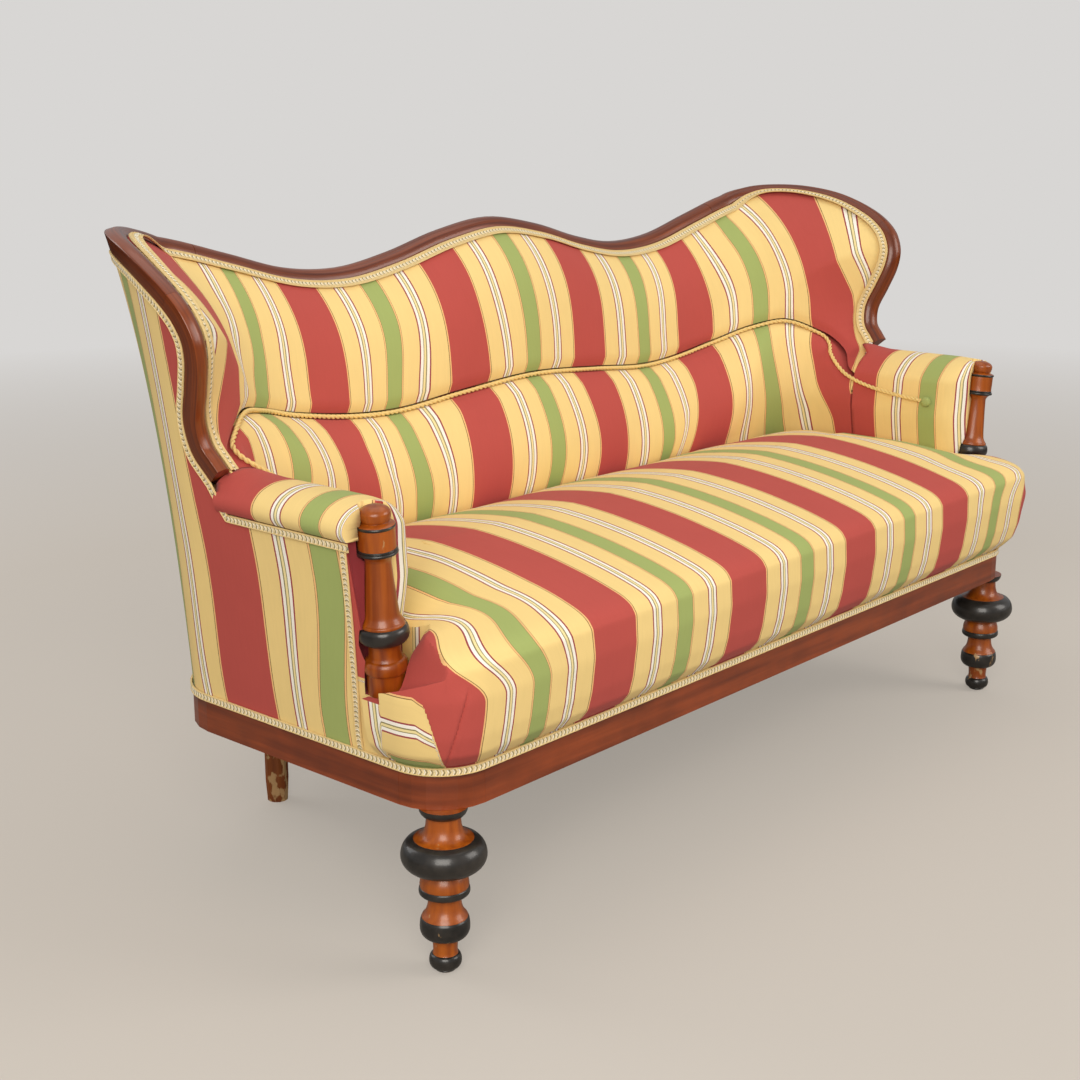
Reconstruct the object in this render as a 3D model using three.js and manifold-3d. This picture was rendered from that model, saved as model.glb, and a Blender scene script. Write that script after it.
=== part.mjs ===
// A cabriole sofa: turned legs and arm posts, a show-wood crest with wings, and fixed striped upholstery.
// Millimetres, +Z up, the front towards -Y. The pieces are placed from the line of the front legs on the
// floor, and the whole group is then centred.
import * as THREE from "three";
import { mergeVertices } from "three/addons/utils/BufferGeometryUtils.js";
import Module from "manifold-3d";

const wasm = await Module();
wasm.setup();

// Clearances and tolerances
const fit = 0.3;
const weld = 0.001;

// Seat rail
const legSpacing = 1600;
const railBottom = 253;
const railHeight = 55;
const railThickness = 42;
const railFront = 38;
const frontCornerRadius = 85;
const mortiseRoom = 4;

// The outer shell of the back and sides: one plan at the seat rail and one near the crest
const railPlan = { half: 840, cornerX: 655, cornerY: 243, back: 718 };
const crestPlan = { half: 970, cornerX: 218, cornerY: 352, back: 665 };
const crestPlanHeight = 1000;
const sideRun = 500;
const padDatum = 150;
const frameDepth = 9;

// Crest and wings
const crestHeight = 1021;
const crestWidth = 28;
const crestDepth = 29;
const crestJoint = 690;
const wingJointShare = 0.9305;

// Turned legs and posts
const roundOver = 3;
const footRadius = 14.5;
const footRingBottom = 5;
const footRingTop = 27;
const footRingRadius = 23.6;
const ankleRadius = 17.5;
const lowerRingNeck = 20.5;
const lowerRingBottom = 48;
const lowerRingTop = 91;
const lowerRingRadius = 36.1;
const middleRadius = 23.3;
const middleRingBottom = 113;
const middleRingTop = 152;
const middleRingRadius = 36.8;
const discBottom = 153.5;
const discTop = 216;
const discRadius = 61.6;
const discNeck = 31;
const neckRadius = 24.6;
const neckTop = 236;
const collarWaist = 27;
const collarRadius = 35;
const frontSpigotRadius = 14;
const rearSpigotRadius = 9;
const spigotLength = 46;
const rearLegX = 560;
const rearLegY = 655;
const rearLegRadius = 20.5;
const rearFootRadius = 18;
const rearFootHeight = 40;
const postX = 839.6;
const postY = 70.8;
const postDatum = 500;
const postLeanOutShare = 0.0962;
const postLeanFrontShare = 0.0351;
const postTop = 686.5;
const postBottom = 412;
const postTenonRadius = 12;
const postTenonDepth = 40;
const finialRadius = 22;
const finialHeight = 23;
const finialNeck = 17.5;
const upperBeadDrop = 28.5;
const upperBeadRadius = 27.6;
const drumRadius = 26;
const lowerBeadDrop = 65.7;
const lowerBeadRadius = 29;
const beadHeight = 5.5;
const shaftTopRadius = 18;
const shaftBottomRadius = 22;
const torusDrop = 185;
const torusHeight = 25;
const torusRadius = 36.2;
const postNeckRadius = 22.5;
const plinthDrop = 226;
const plinthRadius = 31.5;
const plinthFoot = 25;

// Arms
const armRear = 312;
const armFront = 70;
const armBottom = 412;
const armTrimHeight = 638;
const armTop = 690;
const armTopX = 850;
const armCoverX = 762;
const armRollX = 913;
const armFrontRound = 51;
const armRoundReach = 48;
const sideFront = 79;
const facingThickness = 31;
const armRailWidth = 34;
const armRailHeight = 36;
const armUprightThickness = 32;
const armUprightWidth = 36;
const armFrameGap = 4;
const wingUprightY = 363;
const sideEdgeY = 338;
const sideEdgeHeight = 655;

// Back frame
const uprightHeadThickness = 15;
const uprightFootThickness = 36;
const uprightWidth = 44;
const backRailThickness = 42;
const backRailBottom = 452;
const backRailTop = 476;

// Upholstery
const seatRise = 235;
const seatRidgeY = 255;
const seatRidgeX = 550;
const seatSide = 777;
const seatSag = 26;
const seatSagReach = 90;
const seatGap = 1.5;
const seatEarRear = 43;
const seatHollowX = 740;
const seatHollowFront = 30;
const seatHollowRear = 430;
const seatHollowTop = 424;
const padEdge = 31.5;
const padRise = 122.5;
const padReach = 88;
const padStart = 17;
const padGap = 2;
const lumbarBulge = 68;
const lumbarPeak = 150;
const creaseRoom = 2.8;
const creaseSink = 9;
const creaseReach = 26;
const padFloor = 480.5;
const canvasRakeShare = 0.178;
const padLeast = 24;
const canvasThickness = 1.6;
const canvasGap = 4;
const canvasReachShare = 0.54;
const panelDepth = 2;
const panelThickness = 2.5;
const braidGap = 1;

// Trimmings
const braidWidth = 12;
const braidThickness = 3;
const innerBraidWidth = 10;
const railBraidDrop = 4;
const cordRadius = 4.2;
const cordRise = 2;
const cordGap = 1;
const innerBraidLift = 4;
const buttonRadius = 10;
const buttonThickness = 8;
const buttonLift = 2.5;
const buttonY = 135;
const buttonHeight = 603;

// Springs, webbing and the dust cover
const webbingWidth = 50;
const webbingThickness = 1.6;
const webbingReach = 820;
const webbingPitch = 230;
const springX = 460;
const springRows = [150, 350];
const webbingRows = [150, 350, 550];
const springRadius = 42;
const springWaist = 30;
const springWire = 2.1;
const springTurns = 3.5;
const stretcherX = 300;
const stretcherWidth = 40;
const stretcherHeight = 30;
const stretcherDrop = 10;
const coverInset = 20;
const coverThickness = 1.5;

// Sampling
const latheSides = 12;
const railSteps = 14;
const blockSteps = 6;
const crestSteps = 24;
const cornerSteps = 14;
const wingSteps = 16;
const cordSteps = 48;
const cordSides = 6;
const springSteps = 20;
const quarterTurn = Math.PI / 2;

const railTop = railBottom + railHeight;
const legX = legSpacing / 2;
const springTop = seatHollowTop - canvasThickness - fit;

const at = (x, y, z) => new THREE.Vector3(x, y, z);
const mix = THREE.MathUtils.lerp;
const clamp = THREE.MathUtils.clamp;
const rise = THREE.MathUtils.smoothstep;
const range = (count) => Array.from({ length: count }, (_, i) => i);
const steps = (from, to, count) => range(count + 1).map((i) => mix(from, to, i / count));

// The value of a table of [place, value] rows at one place, in straight stretches.
function tableAt(table, place) {
  const next = table.findIndex((row) => row[0] >= place);
  if (next === 0) return table[0][1];
  if (next < 0) return table[table.length - 1][1];
  const [a, b] = [table[next - 1], table[next]];
  return mix(a[1], b[1], (place - a[0]) / (b[0] - a[0]));
}

// The same table with its corners smoothed.
function smoothAt(table, place) {
  const next = Math.max(table.findIndex((row) => row[0] >= place), 1);
  if (place >= table[table.length - 1][0]) return table[table.length - 1][1];
  const row = (i) => table[clamp(i, 0, table.length - 1)];
  const [p, a, b, q] = [row(next - 2), row(next - 1), row(next), row(next + 1)];
  const width = b[0] - a[0];
  const share = (place - a[0]) / width;
  const slopeA = next > 1 ? ((b[1] - p[1]) / (b[0] - p[0])) * width : 0;
  const slopeB = next < table.length - 1 ? ((q[1] - a[1]) / (q[0] - a[0])) * width : b[1] - a[1];
  const s2 = share * share;
  const s3 = s2 * share;
  return a[1] * (2 * s3 - 3 * s2 + 1) + slopeA * (s3 - 2 * s2 + share) + b[1] * (3 * s2 - 2 * s3)
    + slopeB * (s3 - s2);
}

// Geometry helpers

function signedVolume(position, index) {
  const [a, b, c] = [at(0, 0, 0), at(0, 0, 0), at(0, 0, 0)];
  let total = 0;
  for (let i = 0; i < index.length; i += 3) {
    a.fromBufferAttribute(position, index[i]);
    b.fromBufferAttribute(position, index[i + 1]);
    c.fromBufferAttribute(position, index[i + 2]);
    total += a.dot(b.cross(c));
  }
  return total;
}

// One closed geometry: positions only, welded, without flat triangles, faces turned outwards.
function tidy(geometry) {
  geometry.deleteAttribute("normal");
  geometry.deleteAttribute("uv");
  const merged = mergeVertices(geometry, weld);
  const source = merged.index.array;
  const kept = [];
  for (let i = 0; i < source.length; i += 3) {
    const [a, b, c] = [source[i], source[i + 1], source[i + 2]];
    if (a !== b && b !== c && c !== a) kept.push(a, b, c);
  }
  const inward = signedVolume(merged.getAttribute("position"), kept) < 0;
  merged.setIndex(inward ? kept.reverse() : kept);
  return merged;
}

function fromTriangles(points, triangles) {
  const geometry = new THREE.BufferGeometry();
  geometry.setAttribute("position", new THREE.Float32BufferAttribute(points.flatMap((p) => p.toArray()), 3));
  geometry.setIndex(triangles.flat());
  return tidy(geometry);
}

// A solid through rings of points, which all follow one outline; its ends are closed.
function loft(rings, outline) {
  const count = outline.length;
  const points = rings.flat();
  const triangles = [];
  for (let i = 0; i + 1 < rings.length; i++)
    for (let j = 0; j < count; j++) {
      const a = i * count + j;
      const b = i * count + ((j + 1) % count);
      triangles.push([a, b, b + count], [a, b + count, a + count]);
    }
  const clockwise = THREE.ShapeUtils.isClockWise(outline);
  const last = points.length - count;
  for (const face of THREE.ShapeUtils.triangulateShape(outline, [])) {
    const turned = THREE.ShapeUtils.isClockWise(face.map((i) => outline[i])) !== clockwise;
    const [a, b, c] = turned ? face.toReversed() : face;
    triangles.push([a, c, b], [last + a, last + b, last + c]);
  }
  return fromTriangles(points, triangles);
}

// A solid between two sheets of points with the same rows and columns.
function slab(front, back) {
  const rows = front.length;
  const columns = front[0].length;
  const half = rows * columns;
  const triangles = [];
  const face = (a, b, c, d) => triangles.push([a, b, c], [a, c, d]);
  for (let i = 0; i + 1 < rows; i++)
    for (let j = 0; j + 1 < columns; j++) {
      const p = i * columns + j;
      face(p, p + 1, p + columns + 1, p + columns);
      face(half + p, half + p + columns, half + p + columns + 1, half + p + 1);
    }
  const rim = [
    ...range(columns),
    ...range(rows - 1).map((i) => (i + 2) * columns - 1),
    ...range(columns - 1).map((j) => rows * columns - 2 - j),
    ...range(rows - 2).map((i) => (rows - 2 - i) * columns),
  ];
  rim.forEach((p, i) => {
    const q = rim[(i + 1) % rim.length];
    face(q, p, half + p, half + q);
  });
  return fromTriangles([...front.flat(), ...back.flat()], triangles);
}

function solidOf(geometry) {
  const mesh = new wasm.Mesh({
    numProp: 3,
    vertProperties: new Float32Array(geometry.getAttribute("position").array),
    triVerts: new Uint32Array(geometry.index.array),
  });
  return new wasm.Manifold(mesh);
}

function largestBody(solid) {
  const bodies = solid.decompose().sort((a, b) => b.volume() - a.volume());
  const mesh = bodies[0].getMesh();
  const geometry = new THREE.BufferGeometry();
  geometry.setAttribute("position", new THREE.Float32BufferAttribute(mesh.vertProperties, 3));
  geometry.setIndex(Array.from(mesh.triVerts));
  return tidy(geometry);
}

// The largest body of a solid, as a geometry; the second pass drops what the welding pinched off.
const geometryOf = (solid) => largestBody(solidOf(largestBody(solid)));

const carve = (geometry, cutters) =>
  geometryOf(cutters.reduce((solid, cutter) => solid.subtract(solidOf(cutter)), solidOf(geometry)));
const join = (geometries) =>
  geometryOf(geometries.slice(1).reduce((solid, g) => solid.add(solidOf(g)), solidOf(geometries[0])));

function box(low, high) {
  const geometry = new THREE.BoxGeometry(high.x - low.x, high.y - low.y, high.z - low.z);
  geometry.translate((low.x + high.x) / 2, (low.y + high.y) / 2, (low.z + high.z) / 2);
  return tidy(geometry);
}

// A plan outline raised from one height to another.
function raised(outline, bottom, top, holes = []) {
  const turned = THREE.ShapeUtils.isClockWise(outline) ? outline.toReversed() : outline;
  const shape = new THREE.Shape(turned);
  shape.holes = holes;
  const geometry = new THREE.ExtrudeGeometry(shape, { depth: top - bottom, bevelEnabled: false });
  return tidy(geometry.translate(0, 0, bottom));
}

function circleHole(x, y, radius) {
  return new THREE.Path().absarc(x, y, radius, 0, 4 * quarterTurn, true);
}

function mirrored(geometry) {
  const turned = geometry.clone().scale(-1, 1, 1);
  return tidy(turned);
}

const bothSides = (geometry) => [geometry, mirrored(geometry)];
const bothSigns = (values) => values.flatMap((value) => [-value, value]);

// The shell. A place on it is a turn and a height: turn 0 is the middle of the back, 1 the start of the
// rounded corner, 2 its end, and past 2 the straight side; turns are negative on the left.

function planAt(height) {
  const share = (height - railTop) / (crestPlanHeight - railTop);
  return Object.fromEntries(
    Object.keys(railPlan).map((key) => [key, mix(railPlan[key], crestPlan[key], share)]),
  );
}

function planPoint(turn, plan) {
  const size = Math.abs(turn);
  const straight = plan.half - plan.cornerX;
  const angle = clamp(size - 1, 0, 1) * quarterTurn;
  const x = size < 1 ? straight * size : straight + plan.cornerX * Math.sin(angle);
  const y = plan.back - plan.cornerY * (1 - Math.cos(angle)) - Math.max(size - 2, 0) * sideRun;
  return [Math.sign(turn) * x, y];
}

function shell(turn, height, depth = 0) {
  const plan = planAt(height);
  const inner = {
    half: plan.half - padDatum,
    cornerX: plan.cornerX - padDatum,
    cornerY: plan.cornerY - padDatum,
    back: plan.back - padDatum,
  };
  const [x0, y0] = planPoint(turn, plan);
  const [x1, y1] = planPoint(turn, inner);
  return at(mix(x0, x1, depth / padDatum), mix(y0, y1, depth / padDatum), height);
}

// The turn at which the straight side of the shell is at one Y.
function turnAtY(y, height) {
  const plan = planAt(height);
  return 2 + (plan.back - plan.cornerY - y) / sideRun;
}

// The crest line: half of it, from the middle of the back to the arm, as [turn, share of the height].
const crestShares = [
  [0, 0.974], [0.175, 0.957], [0.361, 0.9255], [0.544, 0.907], [0.712, 0.916], [0.859, 0.949],
  [1, 0.981], [1.17, 0.995], [1.36, 1], [1.54, 0.997], [1.7, 0.9835], [1.83, 0.96], [1.93, 0.933],
  [2, 0.903], [2.045, 0.867], [2.056, 0.8325], [2.045, 0.7885], [2.032, 0.749], [2.05, 0.719],
  [2.09, 0.699], [2.12, 0.6856],
];
const crestHalf = crestShares.map(([turn, share]) => at(turn, share, 0));
const crestCurve = new THREE.CatmullRomCurve3([
  ...crestHalf.slice(1).reverse().map((p) => at(-p.x, p.y, 0)),
  ...crestHalf,
]);
const crestSpan = crestHalf.length - 1;

// A point of the crest line; place runs from -1 at the left arm to 1 at the right arm.
function crestPlace(place) {
  const p = crestCurve.getPoint((place + 1) / 2);
  return { turn: p.x, height: p.y * crestHeight };
}
function crestPoint(place) {
  const { turn, height } = crestPlace(clamp(place, -1, 1));
  return shell(turn, height);
}

const crestFrom = (test) => {
  let [low, high] = [0, 1];
  for (const _ of range(40)) {
    const middle = (low + high) / 2;
    if (test(crestPoint(middle), crestPlace(middle).turn)) high = middle;
    else low = middle;
  }
  return low;
};
const crestJointPlace = crestFrom((p) => p.x > crestJoint);
const wingJointPlace = crestFrom((p, turn) => turn > 1.6 && p.z < wingJointShare * crestHeight);

// The way into the sofa at one place, square to the shell.
function shellNormal(turn, height) {
  const step = 0.01;
  const across = shell(turn + step, height).sub(shell(turn - step, height));
  const upward = shell(turn, height + step * padDatum).sub(shell(turn, height - step * padDatum));
  const normal = across.cross(upward).normalize();
  return normal.dot(levelInward(turn, height)) < 0 ? normal.negate() : normal;
}
const levelInward = (turn, height) => shell(turn, height, padDatum).sub(shell(turn, height)).normalize();

// The turn and height of the place on the shell beside a point, at the point's own height.
function unshell(point, guess) {
  const probe = 0.01;
  let turn = guess;
  for (const _ of range(12)) {
    const here = shell(turn, point.z);
    const slope = shell(turn + probe, point.z).sub(shell(turn - probe, point.z)).divideScalar(2 * probe);
    turn += clamp(point.clone().sub(here).dot(slope) / slope.lengthSq(), -0.3, 0.3);
  }
  return { turn, height: point.z };
}

// The turn at which the shell reaches one X, at one height.
function turnAtX(x, height) {
  const plan = planAt(height);
  const straight = plan.half - plan.cornerX;
  return x < straight ? x / straight : 1 + Math.asin((x - straight) / plan.cornerX) / quarterTurn;
}

// Axes at a place of a path on the shell: across it, towards the upholstery or downwards, and inwards.
const nudge = 0.002;
function pathFrame(path, place) {
  const point = (t) => {
    const { turn, height } = path(t);
    return shell(turn, height);
  };
  const origin = point(place);
  const along = point(place + nudge).sub(point(place - nudge)).normalize();
  const { turn, height } = path(place);
  const across = along.clone().cross(shellNormal(turn, height)).normalize();
  const depth = across.clone().cross(along).normalize();
  return { origin, across, depth };
}

// A strip through places of a path on the shell; its section is a list of [across, depth].
function strip(path, places, section) {
  const outline = section.map(([a, d]) => new THREE.Vector2(a, d));
  const rings = places.map((place) => {
    const { origin, across, depth } = pathFrame(path, place);
    return section.map(([a, d]) => origin.clone().addScaledVector(across, a).addScaledVector(depth, d));
  });
  return loft(rings, outline);
}
const crestPath = (place) => crestPlace(clamp(place, -1, 1));

// Half of the crest line's places, from the middle to the arm: all that runs along it is cut at these.
const halfPlaces = [
  ...steps(0, crestJointPlace, crestSteps / 2),
  ...steps(crestJointPlace, wingJointPlace, cornerSteps).slice(1),
  ...steps(wingJointPlace, 1, wingSteps).slice(1),
];
const crestPlaces = [...halfPlaces.slice(1).toReversed().map((place) => -place), ...halfPlaces];

// The show wood: flat outside and on the edge, then crowned towards the upholstery.
const woodShares = [[1, 0], [0.08, 0], [0, 0.08], [0, 0.45], [0.12, 0.7], [0.32, 0.88], [0.57, 1], [1, 1]];
const woodSection = woodShares.map(([a, d]) => [a * crestWidth, d * crestDepth]);

// The places between two joints, each end drawn back by a hair.
function placesBetween(from, to) {
  const gap = 0.0002;
  const inner = crestPlaces.filter((place) => place > from + gap && place < to - gap);
  return [from + gap, ...inner, to - gap];
}

const wood = { color: 0x8a4420, roughness: 0.35, metalness: 0 };
const plainWood = { color: 0xb98b5e, roughness: 0.7, metalness: 0 };
const stripeCloth = { color: 0xe6cf8a, roughness: 0.9, metalness: 0 };
const redCloth = { color: 0x8e2f33, roughness: 0.9, metalness: 0 };
const greenCloth = { color: 0x8f9a5c, roughness: 0.9, metalness: 0 };
const jute = { color: 0xa98d62, roughness: 0.95, metalness: 0 };
const blackCloth = { color: 0x2b2a28, roughness: 0.95, metalness: 0 };
const braid = { color: 0xd8c795, roughness: 0.85, metalness: 0 };
const steel = { color: 0x9a948c, roughness: 0.45, metalness: 0.9 };

const sofa = new THREE.Group();
function add(name, geometry, finish) {
  const mesh = new THREE.Mesh(geometry, new THREE.MeshStandardMaterial(finish));
  mesh.name = name;
  sofa.add(mesh);
  return mesh;
}
function addPair(name, geometry, finish) {
  add(name + "_right", geometry, finish);
  add(name + "_left", mirrored(geometry), finish);
}

// Seat rails

const sideX = railPlan.half;
const sideStart = frontCornerRadius - railFront;
const sideEnd = railPlan.back - railPlan.cornerY;
const cornerX = sideX - frontCornerRadius;

// The outside of the rails in plan, moved out by an offset; counter-clockwise from the middle of the back.
function railOutline(offset) {
  const plan = {
    half: sideX + offset,
    cornerX: railPlan.cornerX + offset,
    cornerY: railPlan.cornerY + offset,
    back: railPlan.back + offset,
  };
  const rear = steps(1, 2, railSteps).map((turn) => planPoint(turn, plan));
  const front = steps(0, quarterTurn, blockSteps).map((angle) => [
    cornerX + (frontCornerRadius + offset) * Math.cos(angle),
    sideStart - (frontCornerRadius + offset) * Math.sin(angle),
  ]);
  const right = [...rear, ...front];
  return [...right, ...right.toReversed().map(([x, y]) => [-x, y])].map(([x, y]) => new THREE.Vector2(x, y));
}

function curvedRailOutline(grow = 0) {
  const inner = {
    half: sideX - railThickness - grow,
    cornerX: railPlan.cornerX - railThickness - grow,
    cornerY: railPlan.cornerY - railThickness - grow,
    back: railPlan.back - railThickness - grow,
  };
  const arc = steps(1, 2, railSteps);
  return [
    ...arc.map((turn) => planPoint(turn, railPlan)),
    ...arc.toReversed().map((turn) => planPoint(turn, inner)),
  ].map(([x, y]) => new THREE.Vector2(x, y));
}

function buildRails() {
  const inner = railThickness - railFront;
  add("front_rail", box(at(-cornerX + fit, -railFront, railBottom), at(cornerX - fit, inner, railTop)), wood);

  const block = [[cornerX, sideStart], [cornerX, -railFront], ...steps(-quarterTurn, 0, blockSteps).map((angle) =>
    [cornerX + frontCornerRadius * Math.cos(angle), sideStart + frontCornerRadius * Math.sin(angle)]).slice(1)]
    .map(([x, y]) => new THREE.Vector2(x, y));
  const spigotHole = circleHole(legX, 0, frontSpigotRadius + fit);
  addPair("front_corner_block", raised(block, railBottom, railTop, [spigotHole]), wood);

  const side = box(at(sideX - railThickness, sideStart + fit, railBottom), at(sideX, sideEnd - fit, railTop));
  const mortise = tenonHole(railTop - postTenonDepth - mortiseRoom, railTop + mortiseRoom);
  addPair("side_rail", carve(side, [mortise]), wood);

  const legHole = circleHole(rearLegX, rearLegY, rearSpigotRadius + fit);
  addPair("rear_corner_rail", raised(curvedRailOutline(), railBottom, railTop, [legHole]), wood);

  const straight = sideX - railPlan.cornerX - fit;
  add("rear_rail", box(at(-straight, railPlan.back - railThickness, railBottom),
    at(straight, railPlan.back, railTop)), wood);

  const stretcherTop = railTop - stretcherDrop;
  const stretcher = box(at(stretcherX - stretcherWidth / 2, inner + fit, stretcherTop - stretcherHeight),
    at(stretcherX + stretcherWidth / 2, railPlan.back - railThickness, stretcherTop));
  addPair("seat_stretcher", carve(stretcher, [raised(curvedRailOutline(fit), 0, crestHeight)]), plainWood);
}

// Turned pieces: profiles run from the bottom up as [radius, height].

function turned(profile, sides = latheSides) {
  const points = profile.map(([radius, height]) => new THREE.Vector2(radius, height));
  return tidy(new THREE.LatheGeometry(points, sides).rotateX(quarterTurn));
}

// Half an ellipse between two heights, from a lower radius out to the widest and in to an upper radius.
function bulge(bottom, top, lower, widest, upper, count = 6) {
  return steps(-1, 1, count).map((share) => {
    const neck = share < 0 ? lower : upper;
    const reach = Math.sqrt(1 - share * share);
    return [mix(neck, widest, reach), mix(bottom, top, (share + 1) / 2)];
  });
}

function frontLeg() {
  const soft = roundOver;
  const profile = [
    [0, 0], [footRadius, 0],
    ...bulge(footRingBottom, footRingTop, footRadius + soft / 2, footRingRadius, ankleRadius, 4),
    [lowerRingNeck, lowerRingBottom - soft / 3],
    ...bulge(lowerRingBottom, lowerRingTop, lowerRingNeck + soft / 2, lowerRingRadius, middleRadius),
    [middleRadius, middleRingBottom - soft / 3],
    ...bulge(middleRingBottom, middleRingTop, middleRadius + soft / 2, middleRingRadius, discNeck - soft),
    ...bulge(discBottom, discTop, discNeck, discRadius, neckRadius + soft),
    [neckRadius, discTop + soft], [neckRadius, neckTop],
    [collarWaist, neckTop + soft], [collarRadius, railBottom - soft],
    [collarRadius, railBottom - fit], [frontSpigotRadius, railBottom - fit],
    [frontSpigotRadius, railBottom + spigotLength], [0, railBottom + spigotLength],
  ];
  return turned(profile).translate(legX, 0, 0);
}

function rearLeg() {
  const profile = [
    [0, 0], [rearFootRadius, 0], [rearLegRadius, rearFootHeight], [rearLegRadius, railBottom - fit],
    [rearSpigotRadius, railBottom - fit], [rearSpigotRadius, railBottom + spigotLength],
    [0, railBottom + spigotLength],
  ];
  return turned(profile, 12).translate(rearLegX, rearLegY, 0);
}

function postAxis(height) {
  const up = height - postDatum;
  return at(postX + up * postLeanOutShare, postY - up * postLeanFrontShare, height);
}

const tenonBottom = railTop - postTenonDepth;
const fromPostTop = (drop) => postTop - drop;

// A profile turned about the post's leaning axis.
function turnedPost(profile) {
  const foot = postAxis(tenonBottom);
  const lean = postAxis(postTop).sub(foot).normalize();
  const geometry = turned(profile).translate(0, 0, -tenonBottom);
  geometry.applyQuaternion(new THREE.Quaternion().setFromUnitVectors(at(0, 0, 1), lean));
  return tidy(geometry.translate(foot.x, foot.y, foot.z));
}

function armPost() {
  const soft = roundOver;
  const down = fromPostTop;
  return turnedPost([
    [0, tenonBottom], [postTenonRadius, tenonBottom], [postTenonRadius, postBottom],
    [plinthFoot, postBottom], [plinthFoot + soft, postBottom + soft],
    ...bulge(down(plinthDrop + soft), down(plinthDrop - 2 * soft), plinthRadius - soft / 3, plinthRadius,
      postNeckRadius + soft, 4),
    [postNeckRadius, down(plinthDrop - 4 * soft)],
    [postNeckRadius, down(torusDrop + torusHeight / 2 + soft)],
    ...bulge(down(torusDrop + torusHeight / 2), down(torusDrop - torusHeight / 2), postNeckRadius + soft,
      torusRadius, shaftBottomRadius + soft),
    [shaftBottomRadius, down(torusDrop - torusHeight)],
    [shaftTopRadius, down(lowerBeadDrop + 4 * soft)],
    [drumRadius - soft, down(lowerBeadDrop + soft)],
    ...bulge(down(lowerBeadDrop + beadHeight / 2), down(lowerBeadDrop - beadHeight / 2), drumRadius,
      lowerBeadRadius, drumRadius, 4),
    [drumRadius, down(upperBeadDrop + soft)],
    ...bulge(down(upperBeadDrop + beadHeight / 2), down(upperBeadDrop - beadHeight / 2), drumRadius - soft / 3,
      upperBeadRadius, drumRadius - soft, 4),
    [finialNeck + soft, down(finialHeight + soft / 3)],
    ...bulge(down(finialHeight), postTop, finialNeck, finialRadius, 0, 8).slice(0, -1),
    [0, postTop],
  ]);
}

// The room that the padding leaves round the post: the same turning with its hollows filled.
function postRoom(bottom = postBottom - fit) {
  const soft = roundOver;
  const down = fromPostTop;
  return turnedPost([
    [0, tenonBottom - fit], [postTenonRadius, tenonBottom - fit], [postTenonRadius, bottom],
    [plinthRadius, bottom], [plinthRadius, down(plinthDrop - 2 * soft)],
    [torusRadius, down(torusDrop + torusHeight / 2)], [torusRadius, down(torusDrop - torusHeight / 2) + fit],
    [shaftBottomRadius + soft, down(torusDrop - torusHeight / 2) + fit],
    [shaftTopRadius, down(lowerBeadDrop + 4 * soft)],
    [lowerBeadRadius, down(lowerBeadDrop + soft)], [lowerBeadRadius, down(upperBeadDrop - beadHeight / 2) + fit],
    [finialRadius + soft, down(upperBeadDrop - beadHeight / 2) + fit], [finialRadius, down(finialHeight) + soft],
    [finialRadius, armTop + soft], [0, armTop + soft],
  ].map(([radius, height]) => [radius && radius + fit, height]));
}

// A round bar along the post's axis, for the holes that its tenon needs.
function tenonHole(from, to) {
  const [a, b] = [postAxis(from), postAxis(to)];
  const radius = postTenonRadius + fit;
  const bar = new THREE.CylinderGeometry(radius, radius, a.distanceTo(b), latheSides).rotateX(quarterTurn);
  bar.applyQuaternion(new THREE.Quaternion().setFromUnitVectors(at(0, 0, 1), b.clone().sub(a).normalize()));
  return tidy(bar.translate((a.x + b.x) / 2, (a.y + b.y) / 2, (a.z + b.z) / 2));
}

function buildTurnings() {
  addPair("front_leg", frontLeg(), wood);
  addPair("rear_leg", rearLeg(), plainWood);
  addPair("arm_post", armPost(), wood);
}

// Crest and wings

function buildCrest() {
  const length = (from, to) => strip(crestPath, placesBetween(from, to), woodSection);
  add("crest_rail", length(-crestJointPlace, crestJointPlace), wood);
  addPair("crest_corner", length(crestJointPlace, wingJointPlace), wood);
  addPair("wing", length(wingJointPlace, 1), wood);
}

// Hidden uprights follow the shell: each stands between two turns, and is given as rows of
// [height, thickness].

function upright(rows, turnsAt, outer) {
  const outline = [[0, 0], [1, 0], [1, 1], [0, 1]].map(([i, j]) => new THREE.Vector2(i, j));
  return loft(rows.map(([height, thickness]) => {
    const [a, b] = turnsAt(height);
    const inner = outer + thickness;
    return [shell(a, height, outer), shell(b, height, outer), shell(b, height, inner), shell(a, height, inner)];
  }), outline);
}
const betweenY = (y, width) => (height) => [turnAtY(y + width / 2, height), turnAtY(y - width / 2, height)];
const betweenX = (x, width) => (height) => [turnAtX(x - width / 2, height), turnAtX(x + width / 2, height)];

const armRailBottom = armTrimHeight - armRailHeight - fit;
const armUprightY = postY + torusRadius + armUprightWidth / 2 + armFrameGap;

function armRailBox(grow) {
  const outerX = shell(2, armRailBottom, frameDepth).x;
  return box(
    at(outerX - armRailWidth - grow, armUprightY - armUprightWidth / 2 - grow, armRailBottom - grow),
    at(outerX + grow, wingUprightY - uprightWidth / 2 - fit, armTrimHeight - 2 * fit + grow),
  );
}

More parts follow.
